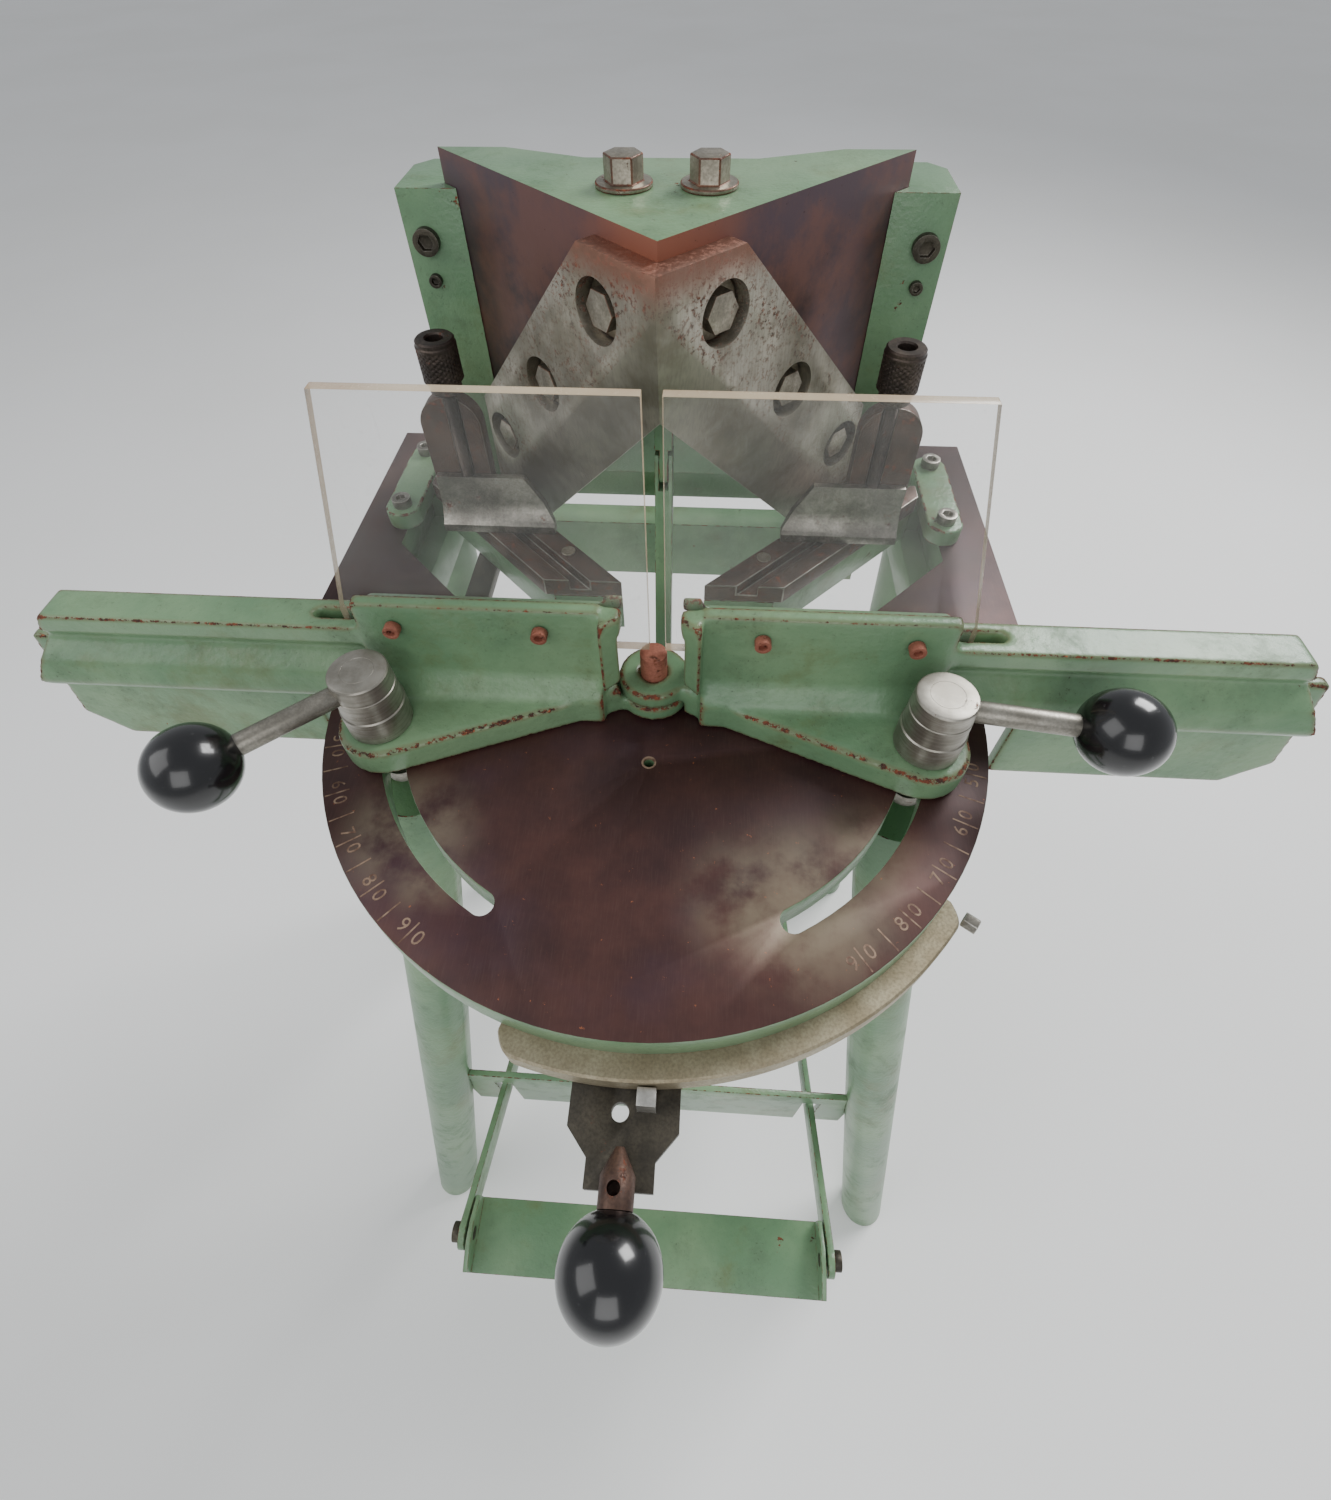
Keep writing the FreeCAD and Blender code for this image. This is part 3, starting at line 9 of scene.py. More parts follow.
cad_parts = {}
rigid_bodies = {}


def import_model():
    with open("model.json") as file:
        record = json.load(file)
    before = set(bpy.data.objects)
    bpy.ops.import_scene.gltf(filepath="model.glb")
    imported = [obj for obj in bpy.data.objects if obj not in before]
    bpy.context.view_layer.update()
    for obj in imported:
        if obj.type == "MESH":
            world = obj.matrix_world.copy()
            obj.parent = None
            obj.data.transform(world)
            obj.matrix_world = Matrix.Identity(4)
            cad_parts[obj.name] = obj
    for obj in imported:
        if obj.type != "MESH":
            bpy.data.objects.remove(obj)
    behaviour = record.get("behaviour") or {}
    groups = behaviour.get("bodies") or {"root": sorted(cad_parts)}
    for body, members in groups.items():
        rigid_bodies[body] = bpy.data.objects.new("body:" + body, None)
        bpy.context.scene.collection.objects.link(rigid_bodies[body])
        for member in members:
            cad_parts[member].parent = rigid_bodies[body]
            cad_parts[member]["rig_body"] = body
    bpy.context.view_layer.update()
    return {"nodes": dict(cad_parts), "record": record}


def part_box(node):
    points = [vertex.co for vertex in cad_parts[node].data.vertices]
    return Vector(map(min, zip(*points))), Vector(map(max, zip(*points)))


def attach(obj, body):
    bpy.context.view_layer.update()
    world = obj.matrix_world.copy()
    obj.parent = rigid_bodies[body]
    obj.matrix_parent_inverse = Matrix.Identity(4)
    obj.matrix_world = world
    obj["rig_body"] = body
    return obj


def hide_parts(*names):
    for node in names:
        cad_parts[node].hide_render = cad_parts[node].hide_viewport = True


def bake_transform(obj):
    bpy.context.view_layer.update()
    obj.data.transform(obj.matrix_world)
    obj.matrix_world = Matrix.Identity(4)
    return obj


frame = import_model()
nodes = frame["nodes"]
scene = bpy.context.scene
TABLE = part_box("table_casting")[1].z
MM = 0.001


# ---------------------------------------------------------------- camera and light
def place_camera():
    """Camera at the photograph's viewing angle: wide lens, above and in front of the table."""
    image_height, focal_pixels, sensor = 1500, 730.245, 36
    place = (0.0264, -0.2821, 1.1969)
    pitch, yaw, roll = math.radians(50.51), math.radians(-4.25), math.radians(0.93)
    forward = Vector((math.sin(yaw) * math.cos(pitch), math.cos(yaw) * math.cos(pitch), -math.sin(pitch)))
    level = Vector((math.cos(yaw), -math.sin(yaw), 0))
    down = forward.cross(level)
    right = level * math.cos(roll) + down * math.sin(roll)
    low = down * math.cos(roll) - level * math.sin(roll)
    data = bpy.data.cameras.new("camera")
    data.sensor_width = sensor
    data.lens = sensor * focal_pixels / image_height
    data.shift_x, data.shift_y = 0.0015, -0.0456
    data.clip_start, data.clip_end = 0.02, 60
    camera = bpy.data.objects.new("camera", data)
    scene.collection.objects.link(camera)
    turn = Matrix((right, -low, -forward)).transposed().to_4x4()
    camera.matrix_world = Matrix.Translation(place) @ turn
    scene.camera = camera


def place_lights():
    """Pale sky, a window light behind on the right, and weaker lights at the left and the front."""
    world = bpy.data.worlds.new("studio")
    scene.world = world
    world.use_nodes = True
    sky = world.node_tree.nodes["Background"]
    sky.inputs["Color"].default_value = (0.93, 0.96, 1.0, 1)
    sky.inputs["Strength"].default_value = 0.5
    for name, place, aim, size, power in (
            ("window", (1.7, 1.5, 2.7), (0, 0.1, 0.9), 1.3, 88),
            ("fill", (-1.9, -0.7, 2.5), (0, 0, 0.8), 1.9, 22),
            ("front", (0.1, -2.4, 2.1), (0, 0, 0.6), 1.8, 22)):
        data = bpy.data.lights.new(name, "AREA")
        data.size, data.energy = size, power
        lamp = bpy.data.objects.new(name, data)
        scene.collection.objects.link(lamp)
        lamp.location = place
        lamp.rotation_euler = (Vector(aim) - Vector(place)).to_track_quat("-Z", "Y").to_euler()


# ---------------------------------------------------------------- materials
def colour(red, green, blue):
    """Linear colour of an sRGB one given in 0..255."""
    def linear(v):
        v /= 255
        return v / 12.92 if v <= 0.04045 else ((v + 0.055) / 1.055) ** 2.4
    return linear(red), linear(green), linear(blue), 1.0


class Paintbox:
    """One material's node tree, with short calls for the few nodes that it needs."""

    def __init__(self, name):
        self.mat = bpy.data.materials.new(name)
        self.mat.use_nodes = True
        self.tree = self.mat.node_tree
        self.shader = self.tree.nodes["Principled BSDF"]
        self.place = self.tree.nodes.new("ShaderNodeTexCoord").outputs["Object"]

    def link(self, value, socket):
        if isinstance(value, bpy.types.NodeSocket):
            self.tree.links.new(value, socket)
        else:
            socket.default_value = value

    def noise(self, scale, detail=4, rough=0.6, stretch=None, offset=0):
        node = self.tree.nodes.new("ShaderNodeTexNoise")
        node.inputs["Scale"].default_value = scale
        node.inputs["Detail"].default_value = detail
        node.inputs["Roughness"].default_value = rough
        mapping = self.tree.nodes.new("ShaderNodeMapping")
        self.link(self.place, mapping.inputs[0])
        mapping.inputs["Location"].default_value = (offset * 3.7, offset * 1.9, offset * 5.3)
        mapping.inputs["Scale"].default_value = stretch or (1, 1, 1)
        self.link(mapping.outputs[0], node.inputs["Vector"])
        return node.outputs["Fac"]

    def cells(self, scale, smooth=1.0):
        node = self.tree.nodes.new("ShaderNodeTexVoronoi")
        node.feature = "SMOOTH_F1"
        node.inputs["Scale"].default_value = scale
        node.inputs["Smoothness"].default_value = smooth
        self.link(self.place, node.inputs["Vector"])
        return node.outputs["Distance"]

    def band(self, value, low, high):
        """0 below low, 1 above high (or the other way round), smooth between."""
        node = self.tree.nodes.new("ShaderNodeMapRange")
        node.interpolation_type = "SMOOTHSTEP"
        self.link(value, node.inputs["Value"])
        flip = low > high
        node.inputs["From Min"].default_value = min(low, high)
        node.inputs["From Max"].default_value = max(low, high)
        node.inputs["To Min"].default_value = 1.0 if flip else 0.0
        node.inputs["To Max"].default_value = 0.0 if flip else 1.0
        return node.outputs["Result"]

    def math(self, kind, a, b=0.0):
        node = self.tree.nodes.new("ShaderNodeMath")
        node.operation = kind
        self.link(a, node.inputs[0])
        self.link(b, node.inputs[1])
        return node.outputs[0]

    def mix(self, fac, a, b):
        node = self.tree.nodes.new("ShaderNodeMix")
        node.data_type = "RGBA"
        self.link(fac, node.inputs[0])
        self.link(a, node.inputs[6])
        self.link(b, node.inputs[7])
        return node.outputs[2]

    def blend(self, fac, a, b):
        node = self.tree.nodes.new("ShaderNodeMix")
        node.data_type = "FLOAT"
        self.link(fac, node.inputs[0])
        self.link(a, node.inputs[2])
        self.link(b, node.inputs[3])
        return node.outputs[0]

    def near(self, point, inner, outer):
        """1 within inner metres of a point, running out to 0 at outer."""
        node = self.tree.nodes.new("ShaderNodeVectorMath")
        node.operation = "DISTANCE"
        self.link(self.place, node.inputs[0])
        node.inputs[1].default_value = point
        return self.band(node.outputs["Value"], outer, inner)

    def axis(self, index):
        node = self.tree.nodes.new("ShaderNodeSeparateXYZ")
        self.link(self.place, node.inputs[0])
        return node.outputs[index]

    def attribute(self, name):
        node = self.tree.nodes.new("ShaderNodeAttribute")
        node.attribute_name = name
        return node.outputs["Fac"]

    def finish(self, base, rough, metal=0.0, height=None, bump=0.3, depth=0.0006):
        self.link(base, self.shader.inputs["Base Color"])
        self.link(rough, self.shader.inputs["Roughness"])
        self.link(metal, self.shader.inputs["Metallic"])
        if height is not None:
            node = self.tree.nodes.new("ShaderNodeBump")
            node.inputs["Strength"].default_value = bump
            node.inputs["Distance"].default_value = depth
            self.link(height, node.inputs["Height"])
            self.link(node.outputs[0], self.shader.inputs["Normal"])
        return self.mat


RUST = colour(120, 62, 38)
RUST_DARK = colour(58, 34, 26)
RUST_LIGHT = colour(176, 104, 66)


def rust_tone(box, scale=260):
    tone = box.mix(box.band(box.noise(scale, 5, 0.7, offset=4), 0.4, 0.62), RUST_DARK, RUST)
    return box.mix(box.band(box.noise(scale * 2.3, 3, 0.6, offset=5), 0.58, 0.75), tone, RUST_LIGHT)


def green_paint(name, grain=420, wear=0.66, shade=0.0, edge=False, attribute=False):
    """Sage enamel on a casting: orange-peel grain, yellowed and olive clouds, grime, chips and rust."""
    box = Paintbox(name)
    light, mid = colour(126, 156, 118), colour(100, 134, 100)
    olive, grime = colour(104, 114, 70), colour(54, 58, 38)
    base = box.mix(box.band(box.noise(9, 5, 0.6), 0.35, 0.7), mid, light)
    stain = box.band(box.noise(16, 6, 0.7, offset=1), 0.52, 0.72)
    base = box.mix(box.math("MULTIPLY", stain, 0.62), base, olive)
    specks = box.band(box.noise(520, 4, 0.75, offset=2), 0.58, 0.7)
    cloud = box.band(box.noise(22, 6, 0.75, offset=3), 0.48, 0.72)
    base = box.mix(box.math("MULTIPLY", specks, box.math("ADD", cloud, 0.25)), base, grime)
    base = box.mix(box.math("MULTIPLY", cloud, 0.28 + shade), base, grime)
    patch = box.noise(75, 8, 0.72, offset=6)
    chips = box.band(patch, wear, wear + 0.025)
    if edge:
        chips = box.band(box.noise(140, 8, 0.75, offset=6), 0.47, 0.53)
    if attribute:
        worn = box.math("MULTIPLY", box.band(box.attribute("edge"), 0.3, 0.95), 0.2)
        blotch = box.band(box.noise(18, 5, 0.7, offset=9), 0.4, 0.7)
        worn = box.math("ADD", worn, box.math("MULTIPLY", blotch, 0.05))
        chips = box.band(box.math("ADD", box.noise(190, 8, 0.8, offset=6), worn), 0.68, 0.72)
        dull = box.math("MULTIPLY", box.band(box.attribute("edge"), 0.2, 0.7), 0.45)
        base = box.mix(dull, base, colour(112, 100, 66))
    base = box.mix(chips, base, rust_tone(box))
    dimples = box.math("MULTIPLY", box.cells(grain * 0.55), 0.6)
    hammer = box.math("ADD", box.noise(grain, 3, 0.5, offset=7), dimples)
    height = box.math("SUBTRACT", hammer, box.math("MULTIPLY", chips, 0.8))
    rough = box.blend(chips, box.blend(cloud, 0.3, 0.5), 0.85)
    return box.finish(base, rough, 0.0, height, 0.42, 0.0007)


def metal(name, tones, rough=(0.28, 0.5), rust=0.64, scale=60, shine=0.9, brush=None):
    """Bare metal: cloudy tone, brushed or turned lines, fine pits and rust blooms."""
    box = Paintbox(name)
    base = box.mix(box.band(box.noise(scale, 5, 0.65), 0.35, 0.68), colour(*tones[0]), colour(*tones[1]))
    lines = box.noise(700, 2, 0.5, stretch=brush or (1, 1, 1), offset=2)
    base = box.mix(box.math("MULTIPLY", box.band(lines, 0.35, 0.7), 0.35), base, colour(*tones[2]))
    bloom = box.noise(scale * 1.6, 8, 0.78, offset=3)
    pits = box.band(box.noise(900, 4, 0.7, offset=5), 0.7, 0.76)
    rusty = box.math("MAXIMUM", box.band(bloom, rust, rust + 0.07), box.math("MULTIPLY", pits, 0.8))
    base = box.mix(rusty, base, rust_tone(box, 340))
    rough_now = box.blend(rusty, box.blend(lines, rough[0], rough[1]), 0.85)
    shine_now = box.blend(rusty, shine, 0.05)
    height = box.math("SUBTRACT", box.math("MULTIPLY", lines, 0.5), rusty)
    return box.finish(base, rough_now, shine_now, height, 0.25, 0.0003)


def table_patina():
    """Dark brown oiled iron, paler where hands and mouldings have rubbed it, with handling smears."""
    box = Paintbox("table_patina")
    base = box.mix(box.band(box.noise(9, 6, 0.65), 0.35, 0.7), colour(54, 32, 32), colour(84, 52, 46))
    base = box.mix(box.math("MULTIPLY", box.band(box.noise(13, 4, 0.5, offset=2), 0.5, 0.75), 0.5), base,
                   colour(70, 50, 62))
    worn = None
    for x, y, inner, outer in ((-0.128, -0.1, 0.004, 0.05), (0.086, -0.132, 0.012, 0.06),
                               (0.06, -0.13, 0.0, 0.05), (0.12, -0.1, 0.0, 0.04), (-0.11, -0.125, 0.0, 0.03)):
        here = box.near((x, y, TABLE), inner, outer)
        worn = here if worn is None else box.math("MAXIMUM", worn, here)
    worn = box.math("MULTIPLY", worn, box.band(box.noise(40, 5, 0.6, offset=1), 0.25, 0.65))
    base = box.mix(box.math("MULTIPLY", worn, 0.62), base, colour(140, 130, 108))
    lines = box.noise(1300, 3, 0.6, stretch=(1, 0.06, 1), offset=3)
    base = box.mix(box.math("MULTIPLY", box.band(lines, 0.45, 0.8), 0.1), base, colour(120, 96, 84))
    spots = box.band(box.noise(260, 4, 0.7, offset=4), 0.68, 0.73)
    base = box.mix(box.math("MULTIPLY", spots, 0.6), base, RUST_LIGHT)
    rough = box.blend(box.noise(12, 4, 0.6, offset=6), 0.3, 0.56)
    return box.finish(base, rough, 0.35, lines, 0.1, 0.0002)


def block_patina():
    """Ground faces of the knife block: brown-violet bluing with orange rust beside the knives."""
    box = Paintbox("block_patina")
    base = box.mix(box.band(box.noise(8, 5, 0.6), 0.35, 0.7), colour(48, 34, 34), colour(92, 74, 78))
    base = box.mix(box.band(box.axis(2), TABLE + 0.17, TABLE + 0.225), base, colour(88, 72, 78))
    lower = box.band(box.axis(2), TABLE + 0.1, TABLE + 0.03)
    bloom = box.band(box.noise(16, 6, 0.7, offset=2), 0.4, 0.62)
    bloom = box.math("MULTIPLY", bloom, box.math("ADD", lower, 0.35))
    base = box.mix(bloom, base, colour(142, 92, 70))
    apex = box.near((0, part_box("knife_block")[0].y, TABLE + 0.21), 0.012, 0.07)
    base = box.mix(box.math("MULTIPLY", apex, 0.85), base, colour(158, 96, 72))
    base = box.mix(box.band(box.noise(420, 5, 0.7, offset=3), 0.66, 0.72), base, RUST_DARK)
    lines = box.noise(620, 2, 0.5, stretch=(1, 1, 0.04), offset=5)
    rough = box.blend(box.noise(20, 4, 0.6, offset=6), 0.3, 0.55)
    return box.finish(base, rough, 0.55, lines, 0.12, 0.0002)


def knife_steel(name, clean):
    """Bright ground steel with brown speckle; clean is the freshly ground bevel."""
    box = Paintbox(name)
    base = box.mix(box.band(box.noise(26, 5, 0.6), 0.35, 0.68), colour(134, 128, 112), colour(182, 176, 162))
    lines = box.noise(800, 2, 0.5, stretch=(1, 1, 0.05), offset=2)
    base = box.mix(box.math("MULTIPLY", box.band(lines, 0.4, 0.7), 0.3), base, colour(124, 120, 112))
    if clean:
        return box.finish(base, box.blend(lines, 0.26, 0.42), 0.85, lines, 0.08, 0.0001)
    cloud = box.band(box.noise(28, 6, 0.7, offset=3), 0.4, 0.6)
    dots = box.band(box.noise(300, 7, 0.8, offset=4), 0.5, 0.58)
    top = box.band(box.axis(2), TABLE + 0.12, TABLE + 0.215)
    spread = box.math("ADD", box.math("MULTIPLY", cloud, 0.6), box.math("MULTIPLY", top, 0.5))
    rusty = box.math("MULTIPLY", dots, spread)
    base = box.mix(rusty, base, rust_tone(box, 400))
    base = box.mix(box.math("MULTIPLY", box.band(box.axis(2), TABLE + 0.198, TABLE + 0.219), 0.75), base,
                   colour(142, 92, 74))
    rough = box.blend(rusty, box.blend(lines, 0.3, 0.46), 0.8)
    height = box.math("SUBTRACT", lines, rusty)
    return box.finish(base, rough, box.blend(rusty, 0.82, 0.1), height, 0.18, 0.0003)


def plastic_black():
    """Glossy black phenolic with light dust and hand smears."""
    box = Paintbox("ball_plastic")
    dust = box.band(box.noise(330, 6, 0.7), 0.62, 0.72)
    base = box.mix(box.math("MULTIPLY", dust, 0.5), colour(10, 10, 13), colour(84, 84, 84))
    box.shader.inputs["Coat Weight"].default_value = 0.5
    box.shader.inputs["Coat Roughness"].default_value = 0.08
    smear = box.noise(30, 5, 0.6, offset=2)
    return box.finish(base, box.blend(smear, 0.12, 0.34), 0.0, smear, 0.04, 0.0003)


def acrylic(name, edge):
    """Clear plate with dust and scratches; its sawn edges are pale and more opaque."""
    box = Paintbox(name)
    dust = box.band(box.noise(260, 6, 0.75), 0.55, 0.75)
    haze = box.band(box.noise(12, 5, 0.6, offset=2), 0.35, 0.75)
    scratch = box.band(box.noise(500, 2, 0.5, stretch=(1, 1, 0.06), offset=3), 0.66, 0.74)
    box.shader.inputs["IOR"].default_value = 1.49
    if edge:
        base = box.mix(haze, colour(208, 190, 160), colour(178, 150, 120))
        box.link(box.blend(dust, 0.82, 0.95), box.shader.inputs["Alpha"])
        return box.finish(base, box.blend(dust, 0.25, 0.5), 0.0, scratch, 0.1, 0.0002)
    base = box.mix(dust, colour(226, 226, 220), colour(196, 188, 170))
    veil = box.math("ADD", box.math("MULTIPLY", haze, 0.05), box.math("MULTIPLY", dust, 0.1))
    veil = box.math("ADD", veil, box.math("MULTIPLY", scratch, 0.05))
    box.link(box.math("ADD", veil, 0.04), box.shader.inputs["Alpha"])
    return box.finish(base, box.blend(dust, 0.06, 0.3), 0.0, scratch, 0.05, 0.0001)


def engraved():
    """Pale filling of the engraved marks, browned in places."""
    box = Paintbox("engraved_mark")
    base = box.mix(box.band(box.noise(160, 4, 0.6), 0.4, 0.65), colour(148, 124, 104), colour(96, 70, 58))
    return box.finish(base, 0.6, 0.3, box.noise(600), 0.1, 0.0001)


def floor_material():
    """Plain pale studio floor."""
    box = Paintbox("pale_floor")
    base = box.mix(box.band(box.noise(1.2, 3, 0.5), 0.3, 0.7), colour(246, 246, 244), colour(250, 250, 249))
    return box.finish(base, 0.75)


MATERIALS = {
    "green": green_paint("green_enamel"),
    "green_edge": green_paint("green_enamel_worn", edge=True),
    "green_cast": green_paint("green_enamel_cast", grain=330, attribute=True),
    "green_rough": green_paint("green_enamel_hammered", grain=250, attribute=True, shade=0.06),
    "green_tube": green_paint("green_enamel_tube", wear=0.72),
    "patina": table_patina(),
    "block": block_patina(),
    "knife": knife_steel("knife_face", False),
    "bevel": knife_steel("knife_bevel", True),
    "zinc": metal("zinc_bolt", ((140, 134, 120), (176, 168, 152), (98, 90, 80)), rust=0.6, scale=120),
    "washer": metal("rusty_washer", ((96, 72, 58), (128, 92, 72), (60, 44, 36)), rust=0.5, shine=0.4),
    "segment": metal("segment_steel", ((150, 138, 112), (178, 168, 142), (104, 92, 74)),
                     rust=0.66, rough=(0.4, 0.62), shine=0.6, scale=40),
    "boss": metal("turned_steel", ((146, 142, 132), (178, 174, 164), (104, 98, 88)),
                  rust=0.62, rough=(0.3, 0.5), brush=(0.05, 0.05, 1)),
    "rod": metal("rod_steel", ((134, 130, 120), (160, 156, 146), (98, 94, 86)), rust=0.62, rough=(0.34, 0.5)),
    "bare": metal("bare_steel", ((120, 116, 108), (162, 158, 148), (84, 78, 72)),
                  rust=0.6, rough=(0.3, 0.52)),
    "bare_edge": metal("bare_steel_edge", ((168, 164, 154), (196, 192, 184), (120, 114, 106)), rust=0.66),
    "brown": metal("browned_steel", ((70, 52, 44), (98, 74, 62), (48, 36, 32)),
                   rust=0.55, rough=(0.4, 0.6), shine=0.5),
    "dark": metal("dark_steel", ((64, 60, 52), (88, 82, 70), (44, 40, 36)),
                  rust=0.62, rough=(0.35, 0.6), shine=0.6),
    "knurl": metal("knurled_steel", ((62, 54, 50), (92, 80, 72), (40, 34, 32)),
                   rust=0.6, rough=(0.35, 0.55), shine=0.7),
    "rusty": metal("rusty_screw", ((150, 92, 74), (176, 112, 92), (112, 66, 52)),
                   rust=0.56, rough=(0.5, 0.7), shine=0.3),
    "spring": metal("spring_wire", ((86, 78, 70), (120, 110, 98), (56, 50, 46)), rust=0.55, shine=0.7),
    # painted highlight: the index piece's near-white metal stands for sunlight glinting on it
    "pale": metal("index_painted_highlight", ((186, 184, 178), (210, 208, 202), (150, 146, 140)),
                  rust=0.74, rough=(0.35, 0.5)),
    "ball": plastic_black(),
    "guard": acrylic("clear_guard", False),
    "guard_edge": acrylic("clear_guard_edge", True),
    "mark": engraved(),
}


# ---------------------------------------------------------------- pieces
def new_piece(name, mesh, body, materials, replaces=()):
    """Puts a mesh in the scene with its materials, body and the CAD nodes that it stands for."""
    piece = bpy.data.objects.new(name, mesh)
    scene.collection.objects.link(piece)
    for key in materials:
        mesh.materials.append(MATERIALS[key])
    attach(piece, body)
    if replaces:
        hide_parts(*replaces)
    return piece


def shade(mesh, angle=40):
    """Smooth shading with edges sharper than an angle kept crisp."""
    form = bmesh.new()
    form.from_mesh(mesh)
    for face in form.faces:
        face.smooth = True
    for edge in form.edges:
        edge.smooth = len(edge.link_faces) == 2 and edge.calc_face_angle(0) < math.radians(angle)
    form.to_mesh(mesh)
    form.free()
    return mesh


def clean_copy(node):
    """The CAD node's shape as a welded mesh with flat regions joined."""
    form = bmesh.new()
    form.from_mesh(nodes[node].data)
    bmesh.ops.remove_doubles(form, verts=form.verts, dist=2e-6)
    bmesh.ops.dissolve_limit(form, angle_limit=math.radians(0.6), verts=form.verts, edges=form.edges)
    for face in form.faces:
        face.material_index = 0
    mesh = bpy.data.meshes.new(node + "_form")
    form.to_mesh(mesh)
    form.free()
    mesh.materials.clear()
    return mesh


def evaluated(piece):
    """Mesh of a piece with its modifiers applied."""
    bpy.context.view_layer.update()
    return bpy.data.meshes.new_from_object(piece.evaluated_get(bpy.context.evaluated_depsgraph_get()))


def apply_modifiers(piece):
    mesh = evaluated(piece)
    piece.modifiers.clear()
    piece.data = mesh
    return mesh


def softened(node, materials, width=0.8, segments=2, paint_faces=None, angle=40):
    """A CAD node with its edges broken; paint_faces picks a material index from a face."""
    mesh = clean_copy(node)
    piece = new_piece(node + "_look", mesh, nodes[node]["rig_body"], materials, (node,))
    bevel = piece.modifiers.new("edges", "BEVEL")
    bevel.limit_method, bevel.angle_limit = "ANGLE", math.radians(32)
    bevel.width, bevel.segments = width * MM, segments
    if len(materials) > 1 and paint_faces is None:
        bevel.material = 1
    mesh = apply_modifiers(piece)
    if paint_faces:
        for face in mesh.polygons:
            face.material_index = paint_faces(face)
    shade(mesh, angle)
    return piece


def cast(node, materials, voxel=1.9, rounds=7):
    """A CAD casting with melted edges and a worn-edge value on each point."""
    mesh = clean_copy(node)
    piece = new_piece(node + "_look", mesh, nodes[node]["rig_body"], materials, (node,))
    remesh = piece.modifiers.new("skin", "REMESH")
    remesh.mode, remesh.voxel_size = "VOXEL", voxel * MM
    smooth = piece.modifiers.new("melt", "SMOOTH")
    smooth.factor, smooth.iterations = 0.5, rounds
    mesh = apply_modifiers(piece)
    for face in mesh.polygons:
        face.use_smooth = True
    form = bmesh.new()
    form.from_mesh(mesh)
    form.normal_update()
    layer = form.verts.layers.float.new("edge")
    for vert in form.verts:
        middle = Vector((0, 0, 0))
        for edge in vert.link_edges:
            middle += edge.other_vert(vert).co
        middle /= max(1, len(vert.link_edges))
        vert[layer] = max(0.0, min(1.0, (vert.co - middle).dot(vert.normal) / (voxel * MM * 0.12)))
    form.to_mesh(mesh)
    form.free()
    return piece


def lathe(name, profile, origin, axis, body, materials, replaces=(), turns=64, wobble=None):
    """Turned piece: profile is (distance along the axis, radius) in millimetres."""
    form = bmesh.new()
    axis = Vector(axis).normalized()
    frame_turn = axis.to_track_quat("Z", "Y").to_matrix()
    rings = []
    for along, radius in profile:
        ring = []
        for step in range(turns):
            angle = 2 * math.pi * step / turns
            reach = radius + (wobble(along, angle) if wobble else 0)
            local = Vector((math.cos(angle) * reach, math.sin(angle) * reach, along)) * MM
            ring.append(form.verts.new(Vector(origin) + frame_turn @ local))
        rings.append(ring)
    for low, high in zip(rings, rings[1:]):
        for step in range(turns):
            after = (step + 1) % turns
            form.faces.new((low[step], low[after], high[after], high[step]))
    form.faces.new(list(reversed(rings[0])))
    form.faces.new(rings[-1])
    bmesh.ops.recalc_face_normals(form, faces=form.faces)
    mesh = bpy.data.meshes.new(name)
    form.to_mesh(mesh)
    form.free()
    shade(mesh, 30)
    return new_piece(name, mesh, body, materials, replaces)


def slab(form, outline, low, high):
    """Adds a closed slab with a plan outline in metres to a bmesh."""
    under = [form.verts.new((x, y, low)) for x, y in outline]
    over = [form.verts.new((x, y, high)) for x, y in outline]
    form.faces.new(list(reversed(under)))
    form.faces.new(over)
    count = len(outline)
    for step in range(count):
        after = (step + 1) % count
        form.faces.new((under[step], under[after], over[after], over[step]))


def ball_knob(node, name, centre, axis):
    """Phenolic ball with a fine parting line across it and a flat where the rod enters."""
    radius, tip, line_height = 22.5, 0.05, 0.15
    steps = 36
    profile = []
    for step in range(steps + 1):
        angle = math.pi * step / steps
        reach = max(radius * math.sin(angle), tip)
        along = -radius * math.cos(angle)
        profile.append((along, radius if step == steps // 2 else min(reach, radius - line_height)))
    profile[0], profile[-1] = (-21.6, 5.5), (radius, tip)
    return lathe(name, profile, centre, axis, nodes[node]["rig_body"], ["ball"], (node,))


def middle(node):
    """Centre of a CAD node's box."""
    low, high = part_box(node)
    return (low + high) / 2


place_camera()
place_lights()

# ---------------------------------------------------------------- fixed frame
def table_faces(face):
    """The machined top is brown iron; everything else on the casting is painted."""
    if face.normal.z > 0.9 and face.center.z > TABLE - 0.0012:
        return 1
    return 0


softened("table_casting", ["green", "patina"], 0.7, 2, table_faces)


def scale_direction(side, mark):
    """Unit vector from the pivot towards an angle mark, in plan; side is 1 on the right, -1 on the left."""
    angle = math.radians(9.6 + mark - 45)
    return Vector((side * math.cos(angle), -math.sin(angle)))


def scale_marks():
    """Angle marks every five degrees on both sides of the table."""
    inner, outer, half_width = 0.1852, 0.1988, 0.00042
    top, deep = TABLE + 0.00008, TABLE - 0.0006
    form = bmesh.new()
    for side in (1, -1):
        for mark in range(50, 95, 5):
            out = scale_direction(side, mark)
            across = Vector((-out.y, out.x)) * half_width
            start, end = out * inner, out * outer
            slab(form, [start - across, end - across, end + across, start + across], deep, top)
    bmesh.ops.recalc_face_normals(form, faces=form.faces)
    mesh = bpy.data.meshes.new("scale_marks")
    form.to_mesh(mesh)
    form.free()
    new_piece("scale_marks", mesh, "frame", ["mark"])


